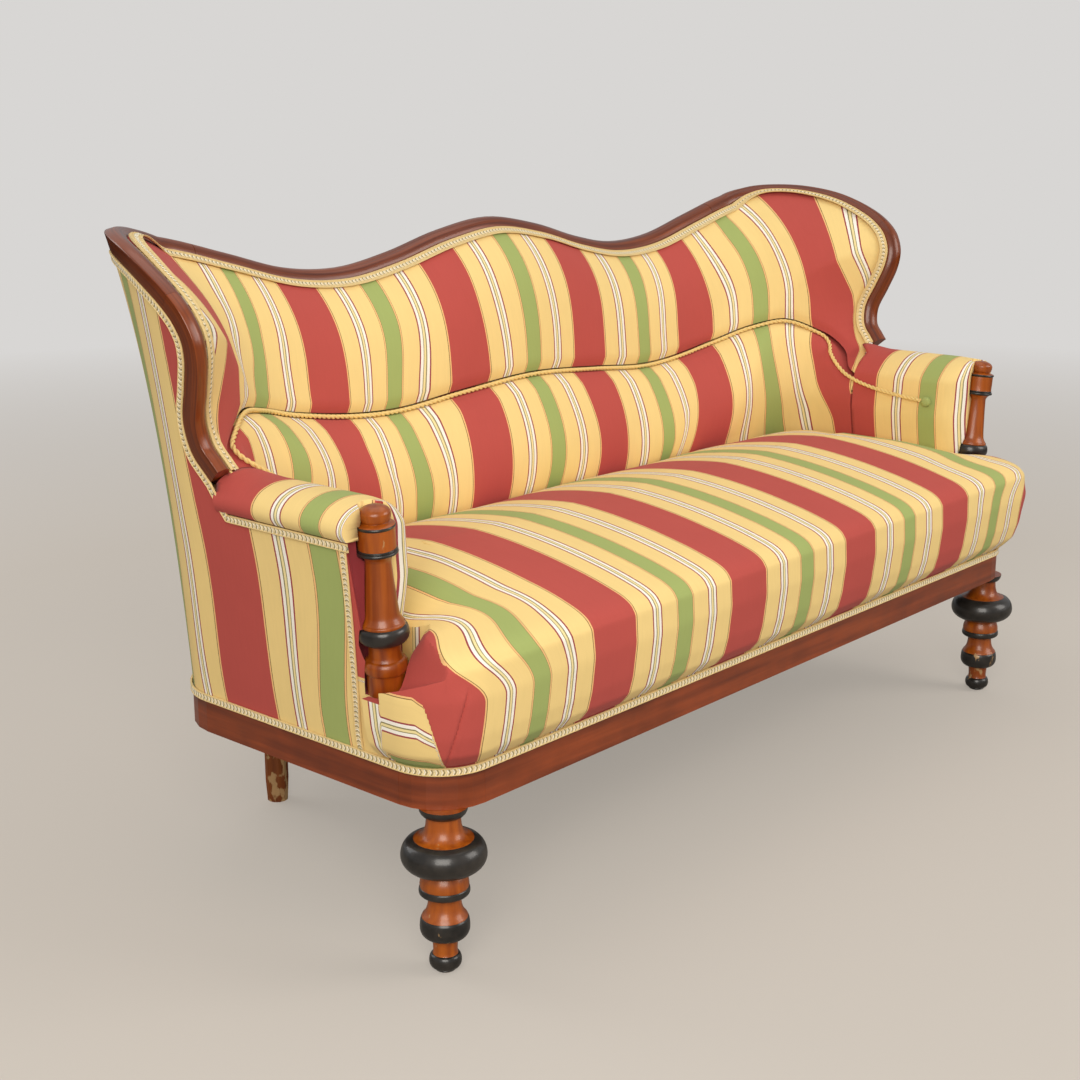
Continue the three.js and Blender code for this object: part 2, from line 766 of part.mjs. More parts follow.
function buildHiddenFrame() {
  const frame = (name, rows, turnsAt) => addPair(name, upright(rows, turnsAt, frameDepth), plainWood);
  frame("arm_upright", [[railTop + fit, armUprightThickness], [armRailBottom - fit, armUprightThickness]],
    betweenY(armUprightY, armUprightWidth));
  addPair("arm_rail", armRailBox(0), plainWood);
  const tapered = (top) => [[railTop + fit, uprightFootThickness], [backRailTop, uprightFootThickness],
    [top, uprightHeadThickness]];
  frame("wing_upright", tapered(crestPoint(1).z - crestWidth - fit), betweenY(wingUprightY, uprightWidth));
  const head = crestPoint(crestFrom((p) => p.x > rearLegX - uprightWidth)).z - crestWidth - 2 * canvasGap;
  const beside = betweenX(rearLegX, uprightWidth);
  frame("back_upright", tapered(head), beside);

  const railEnd = turnAtY(wingUprightY - uprightWidth / 2, backRailBottom);
  const turns = [...steps(-railEnd, railEnd, 30), ...bothSigns(beside(backRailTop))].sort((a, b) => a - b);
  const outline = [[0, 0], [1, 0], [1, 1], [0, 1]].map(([i, j]) => new THREE.Vector2(i, j));
  const outer = frameDepth + uprightFootThickness + 2 * fit;
  const inner = outer + backRailThickness;
  add("lower_back_rail", loft(turns.map((turn) => [
    shell(turn, backRailBottom, outer), shell(turn, backRailTop, outer),
    shell(turn, backRailTop, inner), shell(turn, backRailBottom, inner),
  ]), outline), plainWood);
}

// Depth of the padding's face below the shell.

const creaseShares = [
  [0, 0.6935], [0.375, 0.682], [0.676, 0.67], [0.89, 0.674], [1.16, 0.6945], [1.38, 0.717], [1.62, 0.7277],
  [1.87, 0.6975], [2, 0.666], [2.13, 0.627], [2.3, 0.605], [2.56, 0.5906],
];
const creaseAt = (turn) => smoothAt(creaseShares, Math.abs(turn)) * crestHeight;

// Where the padding starts: the inner edge of the show wood, moved straight out to the shell.
function crestInset(place, across, depth = 0) {
  const frame = pathFrame(crestPath, place);
  const { turn, height } = crestPlace(place);
  const target = frame.origin.addScaledVector(frame.across, across).addScaledVector(frame.depth, depth);
  target.addScaledVector(levelInward(turn, height), -depth);
  return unshell(target, turn);
}
const edgeSamples = crestPlaces.map((place) => {
  const { turn, height } = crestInset(clamp(place, -1 + nudge, 1 - nudge), padStart, padEdge);
  return shell(turn, height);
});
const edgeLines = edgeSamples.slice(1).map((end, i) => new THREE.Line3(edgeSamples[i], end));
function underEdge(turn, height) {
  const p = shell(turn, height);
  return Math.min(...edgeLines.map((line) => line.closestPointToPoint(p, true, at(0, 0, 0)).distanceTo(p)));
}

// The inside of the arm leans with the shell; its depth as a share of the pad's datum, by height share.
const armDepthShares = [[0.41, 0.53], [0.45, 0.58], [0.49, 0.64], [0.52, 0.72], [0.56, 0.82], [0.59, 0.873],
  [0.62, 0.867], [0.66, 0.827]];
const armDepth = (height) => smoothAt(armDepthShares, height / crestPlanHeight) * padDatum;

const freeDepth = (under) => padEdge + padRise * (1 - Math.exp(-under / padReach));

function upperDepth(turn, height) {
  const free = freeDepth(underEdge(turn, height));
  const arm = armDepth(Math.min(height, armTrimHeight));
  const share = rise(Math.abs(turn), 1.55, 2.08) * (1 - rise(height, armTrimHeight, armTop));
  return mix(free, arm, share);
}

function lowerDepth(turn, height) {
  const drop = Math.max(creaseAt(turn) - height, 0) / lumbarPeak;
  const swell = lumbarBulge * Math.sin(Math.min(drop, 1.55) * quarterTurn) ** 0.85;
  const toArm = rise(Math.abs(turn), 1.4, 2.08);
  return mix(freeDepth(underEdge(turn, height)) + swell, armDepth(height), toArm);
}

const sinkAt = (distance) => creaseSink * (1 - rise(distance, 0, creaseReach));
const upperFace = (turn, height) => upperDepth(turn, height) - sinkAt(height - creaseAt(turn));
const lowerFace = (turn, height) => lowerDepth(turn, height) - sinkAt(creaseAt(turn) - height);

function fillDepth(turn, height, face) {
  const under = underEdge(turn, height);
  const least = padLeast * rise(under, 0, 3 * padLeast);
  return Math.min(padEdge + canvasRakeShare * under, face - least - fit);
}

// Rungs run from a lower place to an upper one, straight as seen from outside.
function sheetOf(lowOf, highOf, places, rows, depthOf) {
  return places.map((place) => {
    const [low, high] = [lowOf(place), highOf(place)];
    const [a, b] = [shell(low.turn, low.height), shell(high.turn, high.height)];
    return steps(0, 1, rows).map((share) => {
      const { turn, height } = unshell(a.clone().lerp(b, share), mix(low.turn, high.turn, share));
      return shell(turn, height, depthOf(turn, height));
    });
  });
}

// Where the rungs of the back pads stand on the crease, by their place on the crest line.
const rungShares = [[0, 0], [0.15, 0.755], [0.2, 1], [0.25, 1.17], [0.3, 1.325], [0.4, 1.47], [0.5, 1.58],
  [0.6, 1.68], [0.7, 1.78], [0.8, 1.88], [0.9, 2]];
const signed = (table, place) => Math.sign(place) * tableAt(table, Math.abs(place));

const backEndAt = (height) => turnAtY(armRear + 2 * fit, height);
const creaseEnd = backEndAt(creaseAt(2.13));
const rungTurn = (place) => signed([...rungShares, [1, creaseEnd]], place);
const creasePath = (turn) => ({ turn, height: creaseAt(turn) });
function creasePlace(place, offset) {
  const turn = rungTurn(place);
  const { origin, across } = pathFrame(creasePath, turn);
  const spot = offset ? unshell(origin.addScaledVector(across, -offset), turn) : creasePath(turn);
  const end = backEndAt(spot.height);
  return { turn: clamp(spot.turn, -end, end), height: spot.height };
}
function lowerEdge(place) {
  const { turn, height } = creasePlace(place, 0);
  const above = shell(turn, height);
  return unshell(at(above.x, above.y, padFloor), turn);
}

// The cord lies in the crease, then on the arm up to its button.
const buttonTurn = turnAtY(buttonY, buttonHeight);
const cordEnd = turnAtY(buttonY + buttonRadius + cordGap, buttonHeight);
function cordCentre(turn) {
  const height = creaseAt(turn);
  const inCrease = upperDepth(turn, height) - creaseSink;
  const onArm = armDepth(height) + cordRadius;
  return { height, depth: mix(inCrease, onArm, rise(Math.abs(turn), 1.85, 2.08)) + cordRise };
}

function cordGeometry() {
  const places = steps(-cordEnd, cordEnd, cordSteps).map((turn) => {
    const { height, depth } = cordCentre(turn);
    return shell(turn, height, depth);
  });
  const shape = new THREE.Shape().absarc(0, 0, cordRadius, 0, 4 * quarterTurn, false);
  return tidy(new THREE.ExtrudeGeometry(shape, {
    steps: cordSteps, curveSegments: cordSides / 2, bevelEnabled: false,
    extrudePath: new THREE.CatmullRomCurve3(places),
  }));
}

const innerBraidSection = (grow) => {
  const edge = padStart - braidThickness / 2;
  const reach = innerBraidWidth;
  const lean = braidThickness / 2;
  const [low, high] = [padEdge + fit, freeDepth(reach) + innerBraidLift];
  return [[edge - grow, low - 3 * grow], [edge + reach + grow, high - grow],
    [edge + reach - lean + grow, high + braidThickness + grow], [edge - lean - grow, low + braidThickness + grow]];
};

function buildBack() {
  const inCorner = (place) => Math.abs(place) > crestJointPlace && Math.abs(place) < wingJointPlace;
  const places = crestPlaces.filter((place, i) => inCorner(place) || i % 2 === 0);
  const creaseHalf = cordRadius + creaseRoom;
  const upperLow = (place) => creasePlace(place, creaseHalf);
  const lowerTop = (place) => creasePlace(place, -creaseHalf);
  const upperTop = (place) => crestInset(clamp(place, -1 + nudge, 1 - nudge), padStart + padGap, padEdge);
  const upperFill = (turn, height) => fillDepth(turn, height, upperFace(turn, height));
  const lowerFill = (turn, height) => fillDepth(turn, height, lowerFace(turn, height));
  const armRoom = bothSides(armRailBox(fit));
  const braidRoom = strip(crestPath, crestPlaces, innerBraidSection(fit));
  const upper = slab(sheetOf(upperLow, upperTop, places, 7, upperFace),
    sheetOf(upperLow, upperTop, places, 7, upperFill));
  add("upper_back_pad", carve(upper, [...armRoom, braidRoom]), stripeCloth);
  const lower = slab(sheetOf(lowerEdge, lowerTop, places, 6, lowerFace),
    sheetOf(lowerEdge, lowerTop, places, 6, lowerFill));
  add("lower_back_pad", carve(lower, armRoom), stripeCloth);

  const inside = places.filter((place) => Math.abs(place) < canvasReachShare);
  const behind = (fill) => (turn, height) => fill(turn, height) - canvasGap;
  const canvasTop = (place) => crestInset(place, crestWidth + 2 * canvasGap, padEdge);
  const middle = (place) => creasePlace(place, 0);
  const canvas = (deeper) => {
    const fill = (fillOf) => (turn, height) => behind(fillOf)(turn, height) - deeper;
    const lowerRows = sheetOf(lowerEdge, middle, inside, 1, fill(lowerFill));
    const upperRows = sheetOf(middle, canvasTop, inside, 2, fill(upperFill));
    return lowerRows.map((row, i) => [...row, ...upperRows[i].slice(1)]);
  };
  add("back_canvas", slab(canvas(0), canvas(canvasThickness)), jute);
  add("back_cord", cordGeometry(), braid);
  add("crest_braid", strip(crestPath, crestPlaces, innerBraidSection(0)), braid);
}

// Arm pads: a section across the arm, drawn back round its front corner. Points are [x, height].

const armCoverShares = [0, 0.177, 0.345, 0.478, 0.655, 0.788, 0.92];
function armSection(y) {
  const near = clamp((y - armFront) / armRoundReach, 0, 1);
  const round = armFrontRound * (1 - Math.sqrt(1 - (1 - near) ** 2));
  const coverX = (height) => shell(2, height, armDepth(height)).x;
  const inner = armCoverShares.map((share) => mix(armBottom, armTrimHeight, share))
    .map((height) => [coverX(height) + round, height]);
  const rollWidth = armRollX - armCoverX;
  const rollRise = armTop - armTrimHeight;
  const soft = (1 - near) * roundOver;
  const roll = [[0.1, 0.35], [0.2, 0.62], [0.35, 0.86], [0.58, 1], [0.8, 0.92], [0.94, 0.68], [1, 0.36], [0.97, 0.12],
    [0.93, 0]].map(([across, up]) => [
    Math.max(armCoverX + across * rollWidth, 0) + round * Math.max(1 - across * 2.2, 0),
    armTrimHeight + up * (rollRise - soft),
  ]);
  const frameX = (height) => shell(2, height, frameDepth + armUprightThickness).x - fit;
  const railX = shell(2, armRailBottom, frameDepth).x - armRailWidth - fit;
  return [...inner, ...roll, [railX, armTrimHeight], [railX, armRailBottom - fit],
    [frameX(armRailBottom) - fit, armRailBottom - fit], [frameX(armBottom) - fit, armBottom]];
}

function buildArms() {
  const rings = [armFront, ...[0.1, 0.3, 0.6, 1].map((share) => armFront + share * armRoundReach),
    mix(armFront, armRear, 0.6), armRear];
  const outline = armSection(armRear).map(([x, z]) => new THREE.Vector2(x, z));
  const pad = loft(rings.map((y) => armSection(y).map(([x, z]) => at(x, y, z))), outline);
  addPair("arm_pad", carve(pad, [postRoom(armBottom - 4 * roundOver)]), stripeCloth);
  addPair("arm_button", buttonGeometry(), greenCloth);

  const facingDepth = panelDepth + panelThickness + fit;
  const reach = frameDepth + armUprightThickness - facingDepth - fit;
  const facing = upright([[railTop + fit, reach], [armTrimHeight - 2 * fit, reach]],
    betweenY(sideFront + facingThickness / 2, facingThickness), facingDepth);
  addPair("arm_facing", carve(facing, [postRoom()]), redCloth);
}

function buttonGeometry() {
  const dome = [[0, 0], [1, 0], [1, 0.35], [0.92, 0.66], [0.7, 0.88], [0.4, 0.97], [0, 1]].map(([radius, height]) =>
    [radius * buttonRadius, height * buttonThickness]);
  const geometry = turned(dome, 10).rotateY(-quarterTurn);
  const centre = shell(buttonTurn, buttonHeight, armDepth(buttonHeight));
  return tidy(geometry.translate(centre.x - buttonLift, centre.y, centre.z));
}

// The outside covers, and the braid along their edges. Past place 1 the edge runs forward under the arm.

function edgeLine(place, inset) {
  const along = Math.abs(place);
  if (along <= 1) return crestInset(clamp(place, -1 + nudge, 1 - nudge), inset);
  const last = crestInset(1 - nudge, inset);
  const under = armTrimHeight - inset + crestWidth;
  const corner = armRear + braidWidth;
  const stages = [
    [1, last.turn, last.height], [1.07, turnAtY(sideEdgeY, sideEdgeHeight), sideEdgeHeight],
    [1.14, turnAtY(corner, under), under], [2, turnAtY(armFront, under), under],
  ];
  const lerp = (column) => tableAt(stages.map((row) => [row[0], row[column]]), along);
  return { turn: lerp(1), height: lerp(2) };
}

function panelOf(places, topOf, bottomTurns, rows) {
  const low = (place) => ({ turn: signed(bottomTurns, place), height: railTop + fit });
  return slab(sheetOf(low, topOf, places, rows, () => panelDepth),
    sheetOf(low, topOf, places, rows, () => panelDepth + panelThickness));
}

function buildOutside() {
  const reach = crestWidth + canvasGap + 2 * braidGap;
  const seamPlace = crestFrom((p) => p.x > rearLegX);
  const gap = 0.001;
  const corner = turnAtY(armRear + braidWidth, railTop);
  const turns = [[0, 0], [seamPlace / 2, turnAtX(rearLegX / 2, railTop)], [seamPlace, turnAtX(rearLegX, railTop)],
    [0.3, 1.54], [0.4, 1.67], [0.5, 1.74], [0.6, 1.78], [0.7, 1.83], [0.8, 1.865], [0.85, 1.93], [0.9, 2.02],
    [0.95, 2.12], [1, 2.235], [1.07, turnAtY(sideEdgeY, railTop)], [1.14, corner], [2, turnAtY(sideFront, railTop)]];
  const toSeam = halfPlaces.filter((place) => place < seamPlace - gap && place > 0);
  const backPlaces = [...bothSigns([...toSeam, seamPlace - gap]), 0].sort((a, b) => a - b);
  add("outside_back", panelOf(backPlaces, (place) => crestInset(place, reach), turns, 2), stripeCloth);
  const sideTop = (place) => {
    const { turn, height } = edgeLine(place, reach);
    if (place <= 1.14) return { turn, height };
    return { turn: mix(turn, turnAtY(sideFront, height), (place - 1.14) / 0.86), height };
  };
  const fromSeam = halfPlaces.filter((place) => place > seamPlace + 2 * gap && place < 1);
  const places = [seamPlace + gap, ...fromSeam, 1 - 2 * nudge, 1.07, 1.14, 1.6, 2];
  addPair("outside_side", carve(panelOf(places, sideTop, turns, 3), [postRoom()]), stripeCloth);

  const half = braidWidth / 2;
  const depth = panelDepth - braidGap - fit;
  const flat = [[-half, depth - braidThickness], [half, depth - braidThickness], [half, depth], [-half, depth]];
  const edge = (place) => edgeLine(place, crestWidth + braidGap + half);
  const along = halfPlaces.filter((place) => place > 0 && place < 1);
  const run = strip(edge, [gap, ...along, 1 - 2 * nudge, 1.035, 1.07, 1.14, 1.6, 2], flat);
  addPair("outer_braid", carve(run, [postRoom()]), braid);
  const foot = railTop + braidWidth + fit;
  const head = armTrimHeight - braidWidth - braidGap - 2 * fit;
  const upward = (place) => {
    const height = mix(foot, head, place);
    return { turn: turnAtY(sideFront + half, height), height };
  };
  addPair("front_braid", carve(strip(upward, steps(0, 1, 2), flat), [postRoom()]), braid);
  const low = railTop + braidWidth - railBraidDrop;
  add("rail_braid", raised(railOutline(braidThickness + 2 * fit), low - braidWidth, low,
    [new THREE.Path(railOutline(2 * fit))]), braid);
}

// Seat: rows run from the rail up to the ridge as [height share, front share, rear share]; the shares are of
// the rise and of the way from the edge to the ridge.
const seatRows = [
  [0, 0.007, 0.012], [0.038, 0.007, 0.012], [0.062, -0.03, 0.012], [0.14, -0.083, 0.012], [0.268, -0.11, 0.012],
  [0.5, -0.131, 0.012], [0.681, -0.121, 0.012], [0.74, -0.09, 0.04], [0.783, -0.028, 0.053],
  [0.826, 0.086, 0.08], [0.864, 0.2, 0.17], [0.93, 0.45, 0.4], [0.979, 0.72, 0.7], [1, 0.93, 0.93],
];

function seatEdge() {
  const front = [
    ...steps(0, cornerX, 7).map((x) => [x, -railFront]),
    ...steps(-quarterTurn, 0, 5).slice(1).map((angle) => [
      cornerX + frontCornerRadius * Math.cos(angle), sideStart + frontCornerRadius * Math.sin(angle)]),
    ...steps(sideStart, armRear, 3).slice(1).map((y) => [sideX, y]),
  ].map(([x, y]) => ({ x, y, rear: false }));
  const back = steps(1, 0, 11).slice(0, -1).map((place) => {
    const { turn } = lowerEdge(place);
    const p = shell(turn, padFloor, lowerFace(turn, padFloor));
    return { x: Math.min(p.x, seatSide - seatGap), y: p.y - seatGap, rear: true };
  });
  const right = [...front, ...back];
  const { turn } = lowerEdge(0);
  const middle = { x: 0, y: shell(turn, padFloor, lowerFace(turn, padFloor)).y - seatGap, rear: true };
  return [...right, middle, ...right.slice(1).toReversed().map((p) => ({ ...p, x: -p.x }))];
}

function buildSeat() {
  const edge = seatEdge();
  const rings = seatRows.map(([up, front, rear]) => edge.map((p) => {
    const share = p.rear ? rear : front;
    const x = mix(p.x, clamp(p.x, -seatRidgeX, seatRidgeX), share);
    const y = mix(p.y, seatRidgeY, share);
    const beside = seatSide - Math.abs(x);
    const sag = seatSag * (1 - rise(beside, -seatGap, seatSagReach)) * rise(y, 0, 3 * seatEarRear) * rise(up, 0.6, 0.8);
    return at(x, y, railTop + fit + up * seatRise - sag);
  }));
  const outline = edge.map(({ x, y }) => new THREE.Vector2(x, y));
  const high = 2 * seatRise + railTop;
  const behindEar = bothSides(box(at(seatSide, seatEarRear, postBottom - fit), at(2 * sideX, sideEnd, high)));
  const behindPatch = bothSides(box(at(seatSide, sideFront - fit, 0), at(2 * sideX, sideEnd, high)));
  const hollow = box(at(-seatHollowX, seatHollowFront, 0), at(seatHollowX, seatHollowRear, seatHollowTop));
  add("seat", carve(loft(rings, outline), [...behindEar, ...behindPatch, hollow, ...bothSides(postRoom())]),
    stripeCloth);
}

// Springs stand on the webbing, under the canvas.

class SpringCurve extends THREE.Curve {
  getPoint(share, target = at(0, 0, 0)) {
    const angle = share * springTurns * 4 * quarterTurn;
    const radius = mix(springWaist, springRadius, Math.abs(2 * share - 1) ** 1.5);
    const height = mix(railBottom + springWire, springTop - springWire - fit, share);
    return target.set(radius * Math.cos(angle), radius * Math.sin(angle), height);
  }
}

function buildSuspension() {
  const shape = new THREE.Shape().absarc(0, 0, springWire, 0, 4 * quarterTurn, false);
  const spring = tidy(new THREE.ExtrudeGeometry(shape, {
    steps: springSteps, curveSegments: 2, bevelEnabled: false, extrudePath: new SpringCurve(),
  }));
  [-springX, 0, springX].forEach((x, i) => springRows.forEach((y, j) =>
    add("seat_spring_" + (2 * i + j + 1), tidy(spring.clone().translate(x, y, 0)), steel)));

  const top = railBottom - fit;
  const strap = (low, high) => box(at(low.x, low.y, top - webbingThickness), at(high.x, high.y, top));
  const half = webbingWidth / 2;
  const lengthways = webbingRows.map((y) => {
    const reach = y < sideEnd ? webbingReach : rearLegX - rearLegRadius - 2 * webbingThickness;
    return strap(at(-reach, y - half, 0), at(reach, y + half, 0));
  });
  const across = range(7).map((i) => (i - 3) * webbingPitch).map((x) => {
    const { back } = railPlan;
    const rear = planPoint(turnAtX(Math.abs(x) + half, railTop), railPlan)[1] - railThickness / 3;
    return strap(at(x - half, -railFront / 2, 0), at(x + half, Math.min(rear, back - railFront / 2), 0));
  });
  const legs = [cylinderAt(legX, 0, collarRadius + 1 + fit), cylinderAt(rearLegX, rearLegY, rearLegRadius + 1 + fit)]
    .flatMap(bothSides);
  add("seat_webbing", carve(join([...lengthways, ...across]), legs), jute);

  const coverTop = top - webbingThickness - fit;
  add("dust_cover", carve(raised(railOutline(-coverInset), coverTop - coverThickness, coverTop), legs), blackCloth);
  const [low, high] = [at(-seatHollowX, seatHollowFront, 0), at(seatHollowX, seatHollowRear, 0)];
  const inset = 2 * canvasGap;
  add("spring_canvas", box(at(low.x + inset, low.y + inset, springTop),
    at(high.x - inset, high.y - inset, springTop + canvasThickness)), jute);
}

function cylinderAt(x, y, radius) {
  const geometry = new THREE.CylinderGeometry(radius, radius, railTop, latheSides).rotateX(quarterTurn);
  return tidy(geometry.translate(x, y, railTop / 2));
}

buildRails();
buildTurnings();
buildCrest();
buildHiddenFrame();
buildBack();
buildArms();
buildOutside();
buildSeat();
buildSuspension();

const extent = new THREE.Box3().setFromObject(sofa);
sofa.position.set(-(extent.min.x + extent.max.x) / 2, -(extent.min.y + extent.max.y) / 2, 0);

export default sofa;
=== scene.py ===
"""A cabriole sofa in striped cloth: its finishes, its upholstery and its turned and bent show wood.

Sizes are millimetres, with Y measured back from the front legs, and become metres when a mesh is made.
"""
import logging
import math
from dataclasses import dataclass, field
from enum import Enum
from typing import Callable, Iterable, Sequence

import bmesh
import bpy
import numpy as np
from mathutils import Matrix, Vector
from mathutils.geometry import tessellate_polygon


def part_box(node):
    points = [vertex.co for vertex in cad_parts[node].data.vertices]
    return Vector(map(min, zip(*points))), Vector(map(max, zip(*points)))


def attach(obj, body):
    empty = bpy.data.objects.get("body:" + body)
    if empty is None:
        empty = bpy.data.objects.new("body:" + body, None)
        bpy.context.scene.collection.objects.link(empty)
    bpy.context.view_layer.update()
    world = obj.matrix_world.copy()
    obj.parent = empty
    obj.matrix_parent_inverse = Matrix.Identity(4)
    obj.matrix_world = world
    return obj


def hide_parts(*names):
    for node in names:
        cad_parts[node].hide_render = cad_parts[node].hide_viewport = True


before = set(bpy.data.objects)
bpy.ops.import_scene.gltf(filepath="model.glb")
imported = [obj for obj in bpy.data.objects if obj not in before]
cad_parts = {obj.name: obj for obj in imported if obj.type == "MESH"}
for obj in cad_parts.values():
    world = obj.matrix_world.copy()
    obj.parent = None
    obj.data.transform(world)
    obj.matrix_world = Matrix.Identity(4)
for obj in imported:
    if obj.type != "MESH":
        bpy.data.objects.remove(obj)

Array = np.ndarray
Piece = bpy.types.Object
Material = bpy.types.Material
Tree = bpy.types.NodeTree
Socket = bpy.types.NodeSocket
Path = Callable[[Array], tuple[Array, Array]]
LOG = logging.getLogger("sofa")
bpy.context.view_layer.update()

# Sizes that the pieces share with the frame
RAIL_TOP = 308.0
RAIL_FRONT = 38.0
LEG_X = 800.0
CREST_HEIGHT = 1021.0
ARM_TRIM = 638.0
ARM_TOP = 690.0
ARM_FRONT = 70.0
POST_FOOT = 412.0
ARM_REAR = 312.0
PAD_DATUM = 150.0
PAD_FLOOR = 480.5
FRONT_SHIFT = float(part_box("front_rail")[0][1]) * 1000 + RAIL_FRONT


def smooth_rise(value: Array | float, low: float, high: float) -> Array:
    """A soft step from 0 at low to 1 at high.

    Args:
        value: Where the step is read.
        low: The value at which it starts.
        high: The value at which it ends.

    Returns:
        The share of the step, from 0 to 1.
    """
    share = np.clip((np.asarray(value, float) - low) / (high - low), 0, 1)
    return share * share * (3 - 2 * share)


def mix(a: Array | float, b: Array | float, share: Array | float) -> Array:
    """The value at a share of the way from a to b."""
    return a + (np.asarray(b) - a) * share


def unit(vectors: Array) -> Array:
    """The same vectors with length 1."""
    return vectors / np.linalg.norm(vectors, axis=-1, keepdims=True)


def table_at(rows: Sequence[tuple[float, float]], place: Array) -> Array:
    """The value of a table of (place, value) rows, in straight stretches."""
    return np.interp(place, [row[0] for row in rows], [row[1] for row in rows])


def signed_table(rows: Sequence[tuple[float, float]], place: Array) -> Array:
    """The value of a one-sided table, with the sign of the place."""
    return np.sign(place) * table_at(rows, np.abs(place))


def soft_table(rows: Sequence[tuple[float, float]], place: Array) -> Array:
    """The value of a table with its corners smoothed, flat at its start.

    Args:
        rows: Pairs of place and value, in order.
        place: Where the table is read.

    Returns:
        The values, with the last row's value past its end.
    """
    x, y = (np.array(column, float) for column in zip(*rows))
    slopes = np.zeros(len(x))
    slopes[1:-1] = (y[2:] - y[:-2]) / (x[2:] - x[:-2])
    slopes[-1] = (y[-1] - y[-2]) / (x[-1] - x[-2])
    spot = np.clip(np.asarray(place, float), x[0], x[-1])
    i = np.clip(np.searchsorted(x, spot) - 1, 0, len(x) - 2)
    width = x[i + 1] - x[i]
    s = (spot - x[i]) / width
    s2, s3 = s * s, s ** 3
    return (y[i] * (2 * s3 - 3 * s2 + 1) + slopes[i] * width * (s3 - 2 * s2 + s) + y[i + 1] * (3 * s2 - 2 * s3)
            + slopes[i + 1] * width * (s3 - s2))


def box_mean(values: Array, reach: int) -> Array:
    """Each row's mean with its neighbours up to a reach on either side.

    Args:
        values: Rows of values.
        reach: How many neighbours count on either side.

    Returns:
        The means, in the same rows.
    """
    width = 2 * reach + 1
    columns = [np.convolve(np.pad(column, reach, mode="edge"), np.full(width, 1 / width), "valid")
               for column in values.reshape(len(values), -1).T]
    return np.stack(columns, axis=1).reshape(values.shape)


def run_along(points: Array, axis: int = 0) -> Array:
    """The length of the way along rows of points (axis 0) or columns (axis 1) to each point."""
    steps = np.diff(points, axis=axis, prepend=np.take(points, [0], axis=axis))
    return np.cumsum(np.linalg.norm(steps, axis=-1), axis=axis)


def joined(sheet: Array) -> Array:
    """A sheet that goes on from its last column to its first."""
    return np.concatenate([sheet, sheet[:, :1]], axis=1)


# Meshes

@dataclass
class MeshMaker:
    """Gathers sheets of points into one closed mesh, with a cloth coordinate at each corner."""

    points: list[Array] = field(default_factory=list)
    cloth: list[Array] = field(default_factory=list)
    faces: list[list[int]] = field(default_factory=list)
    finish: list[int] = field(default_factory=list)
    count: int = 0

    def sheet(self, points: Array, cloth: Array | None = None, finish: int = 0) -> None:
        """Adds a sheet of quads.

        Args:
            points: Rows by columns of points, in mm.
            cloth: The cloth coordinate at each point, in mm; by default the run of rows and columns.
            finish: Which of the piece's materials the sheet has.
        """
        rows, columns = points.shape[:2]
        if cloth is None:
            along = run_along(points)
            cloth = np.stack([run_along(points, 1), along.mean(axis=1, keepdims=True) + 0 * along], axis=2)
        index = self.count + np.arange(rows * columns).reshape(rows, columns)
        quads = np.stack([index[:-1, :-1], index[:-1, 1:], index[1:, 1:], index[1:, :-1]], axis=2).reshape(-1, 4)
        self.points.append(points.reshape(-1, 3))
        self.cloth.append(cloth.reshape(-1, 2))
        self.faces += quads.tolist()
        self.finish += [finish] * len(quads)
        self.count += rows * columns

    def cap(self, ring: Array, finish: int = 0, across: float | None = None) -> None:
        """Closes a flat ring of points with triangles, whatever its outline; its cloth may lie at one place.

        Args:
            ring: The ring, in mm.
            finish: Which of the piece's materials it has.
            across: The one place in the pattern where all of it lies, in mm, if it has one.
        """
        triangles = tessellate_polygon([[Vector(point) for point in ring]])
        self.points.append(ring)
        self.cloth.append(ring[:, [0, 2]] if across is None else np.column_stack([0 * ring[:, 0] + across, ring[:, 2]]))
        self.faces += [[self.count + i for i in triangle] for triangle in triangles]
        self.finish += [finish] * len(triangles)
        self.count += len(ring)

    def slab(self, front: Array, back: Array, cloth: Array) -> None:
        """Adds a pad between two sheets, with its rim.

        Args:
            front: The front's points.
            back: The back's points.
            cloth: The cloth coordinate at each.
        """
        self.sheet(front, cloth)
        self.sheet(back, cloth)
        for cut in (np.s_[0], np.s_[-1], np.s_[:, 0], np.s_[:, -1]):
            self.sheet(np.stack([front[cut], back[cut]]), np.stack([cloth[cut], cloth[cut]]))

    def tube(self, rings: Array, finish: int = 0, closed_ends: bool = True) -> None:
        """Adds a bar through rings of points, and its ends.

        Args:
            rings: The rings of points.
            finish: Which of the piece's materials it has.
            closed_ends: Whether its ends are closed.
        """
        self.sheet(joined(rings), finish=finish)
        if closed_ends:
            self.cap(rings[0], finish)
            self.cap(rings[-1], finish)

    def build(self, name: str, materials: Iterable[Material], crease: float = 40) -> Piece:
        """Makes the object.

        Args:
            name: The piece's name.
            materials: Its materials, in the order of the sheets' finish numbers.
            crease: The angle in degrees past which an edge stays sharp.

        Returns:
            The object, at the origin, with its faces outwards.
        """
        points = np.concatenate(self.points) + [0, FRONT_SHIFT, 0]
        mesh = bpy.data.meshes.new(name)
        mesh.from_pydata((points / 1000).tolist(), [], self.faces)
        layer = mesh.uv_layers.new(name="cloth")
        corners = np.concatenate([np.array(face) for face in self.faces])
        layer.data.foreach_set("uv", (np.concatenate(self.cloth)[corners] / 1000).ravel())
        mesh.polygons.foreach_set("material_index", np.array(self.finish, np.int32))
        for material in materials:
            mesh.materials.append(material)
        soften(mesh, crease)
        piece = bpy.data.objects.new(name, mesh)
        bpy.context.collection.objects.link(piece)
        return piece


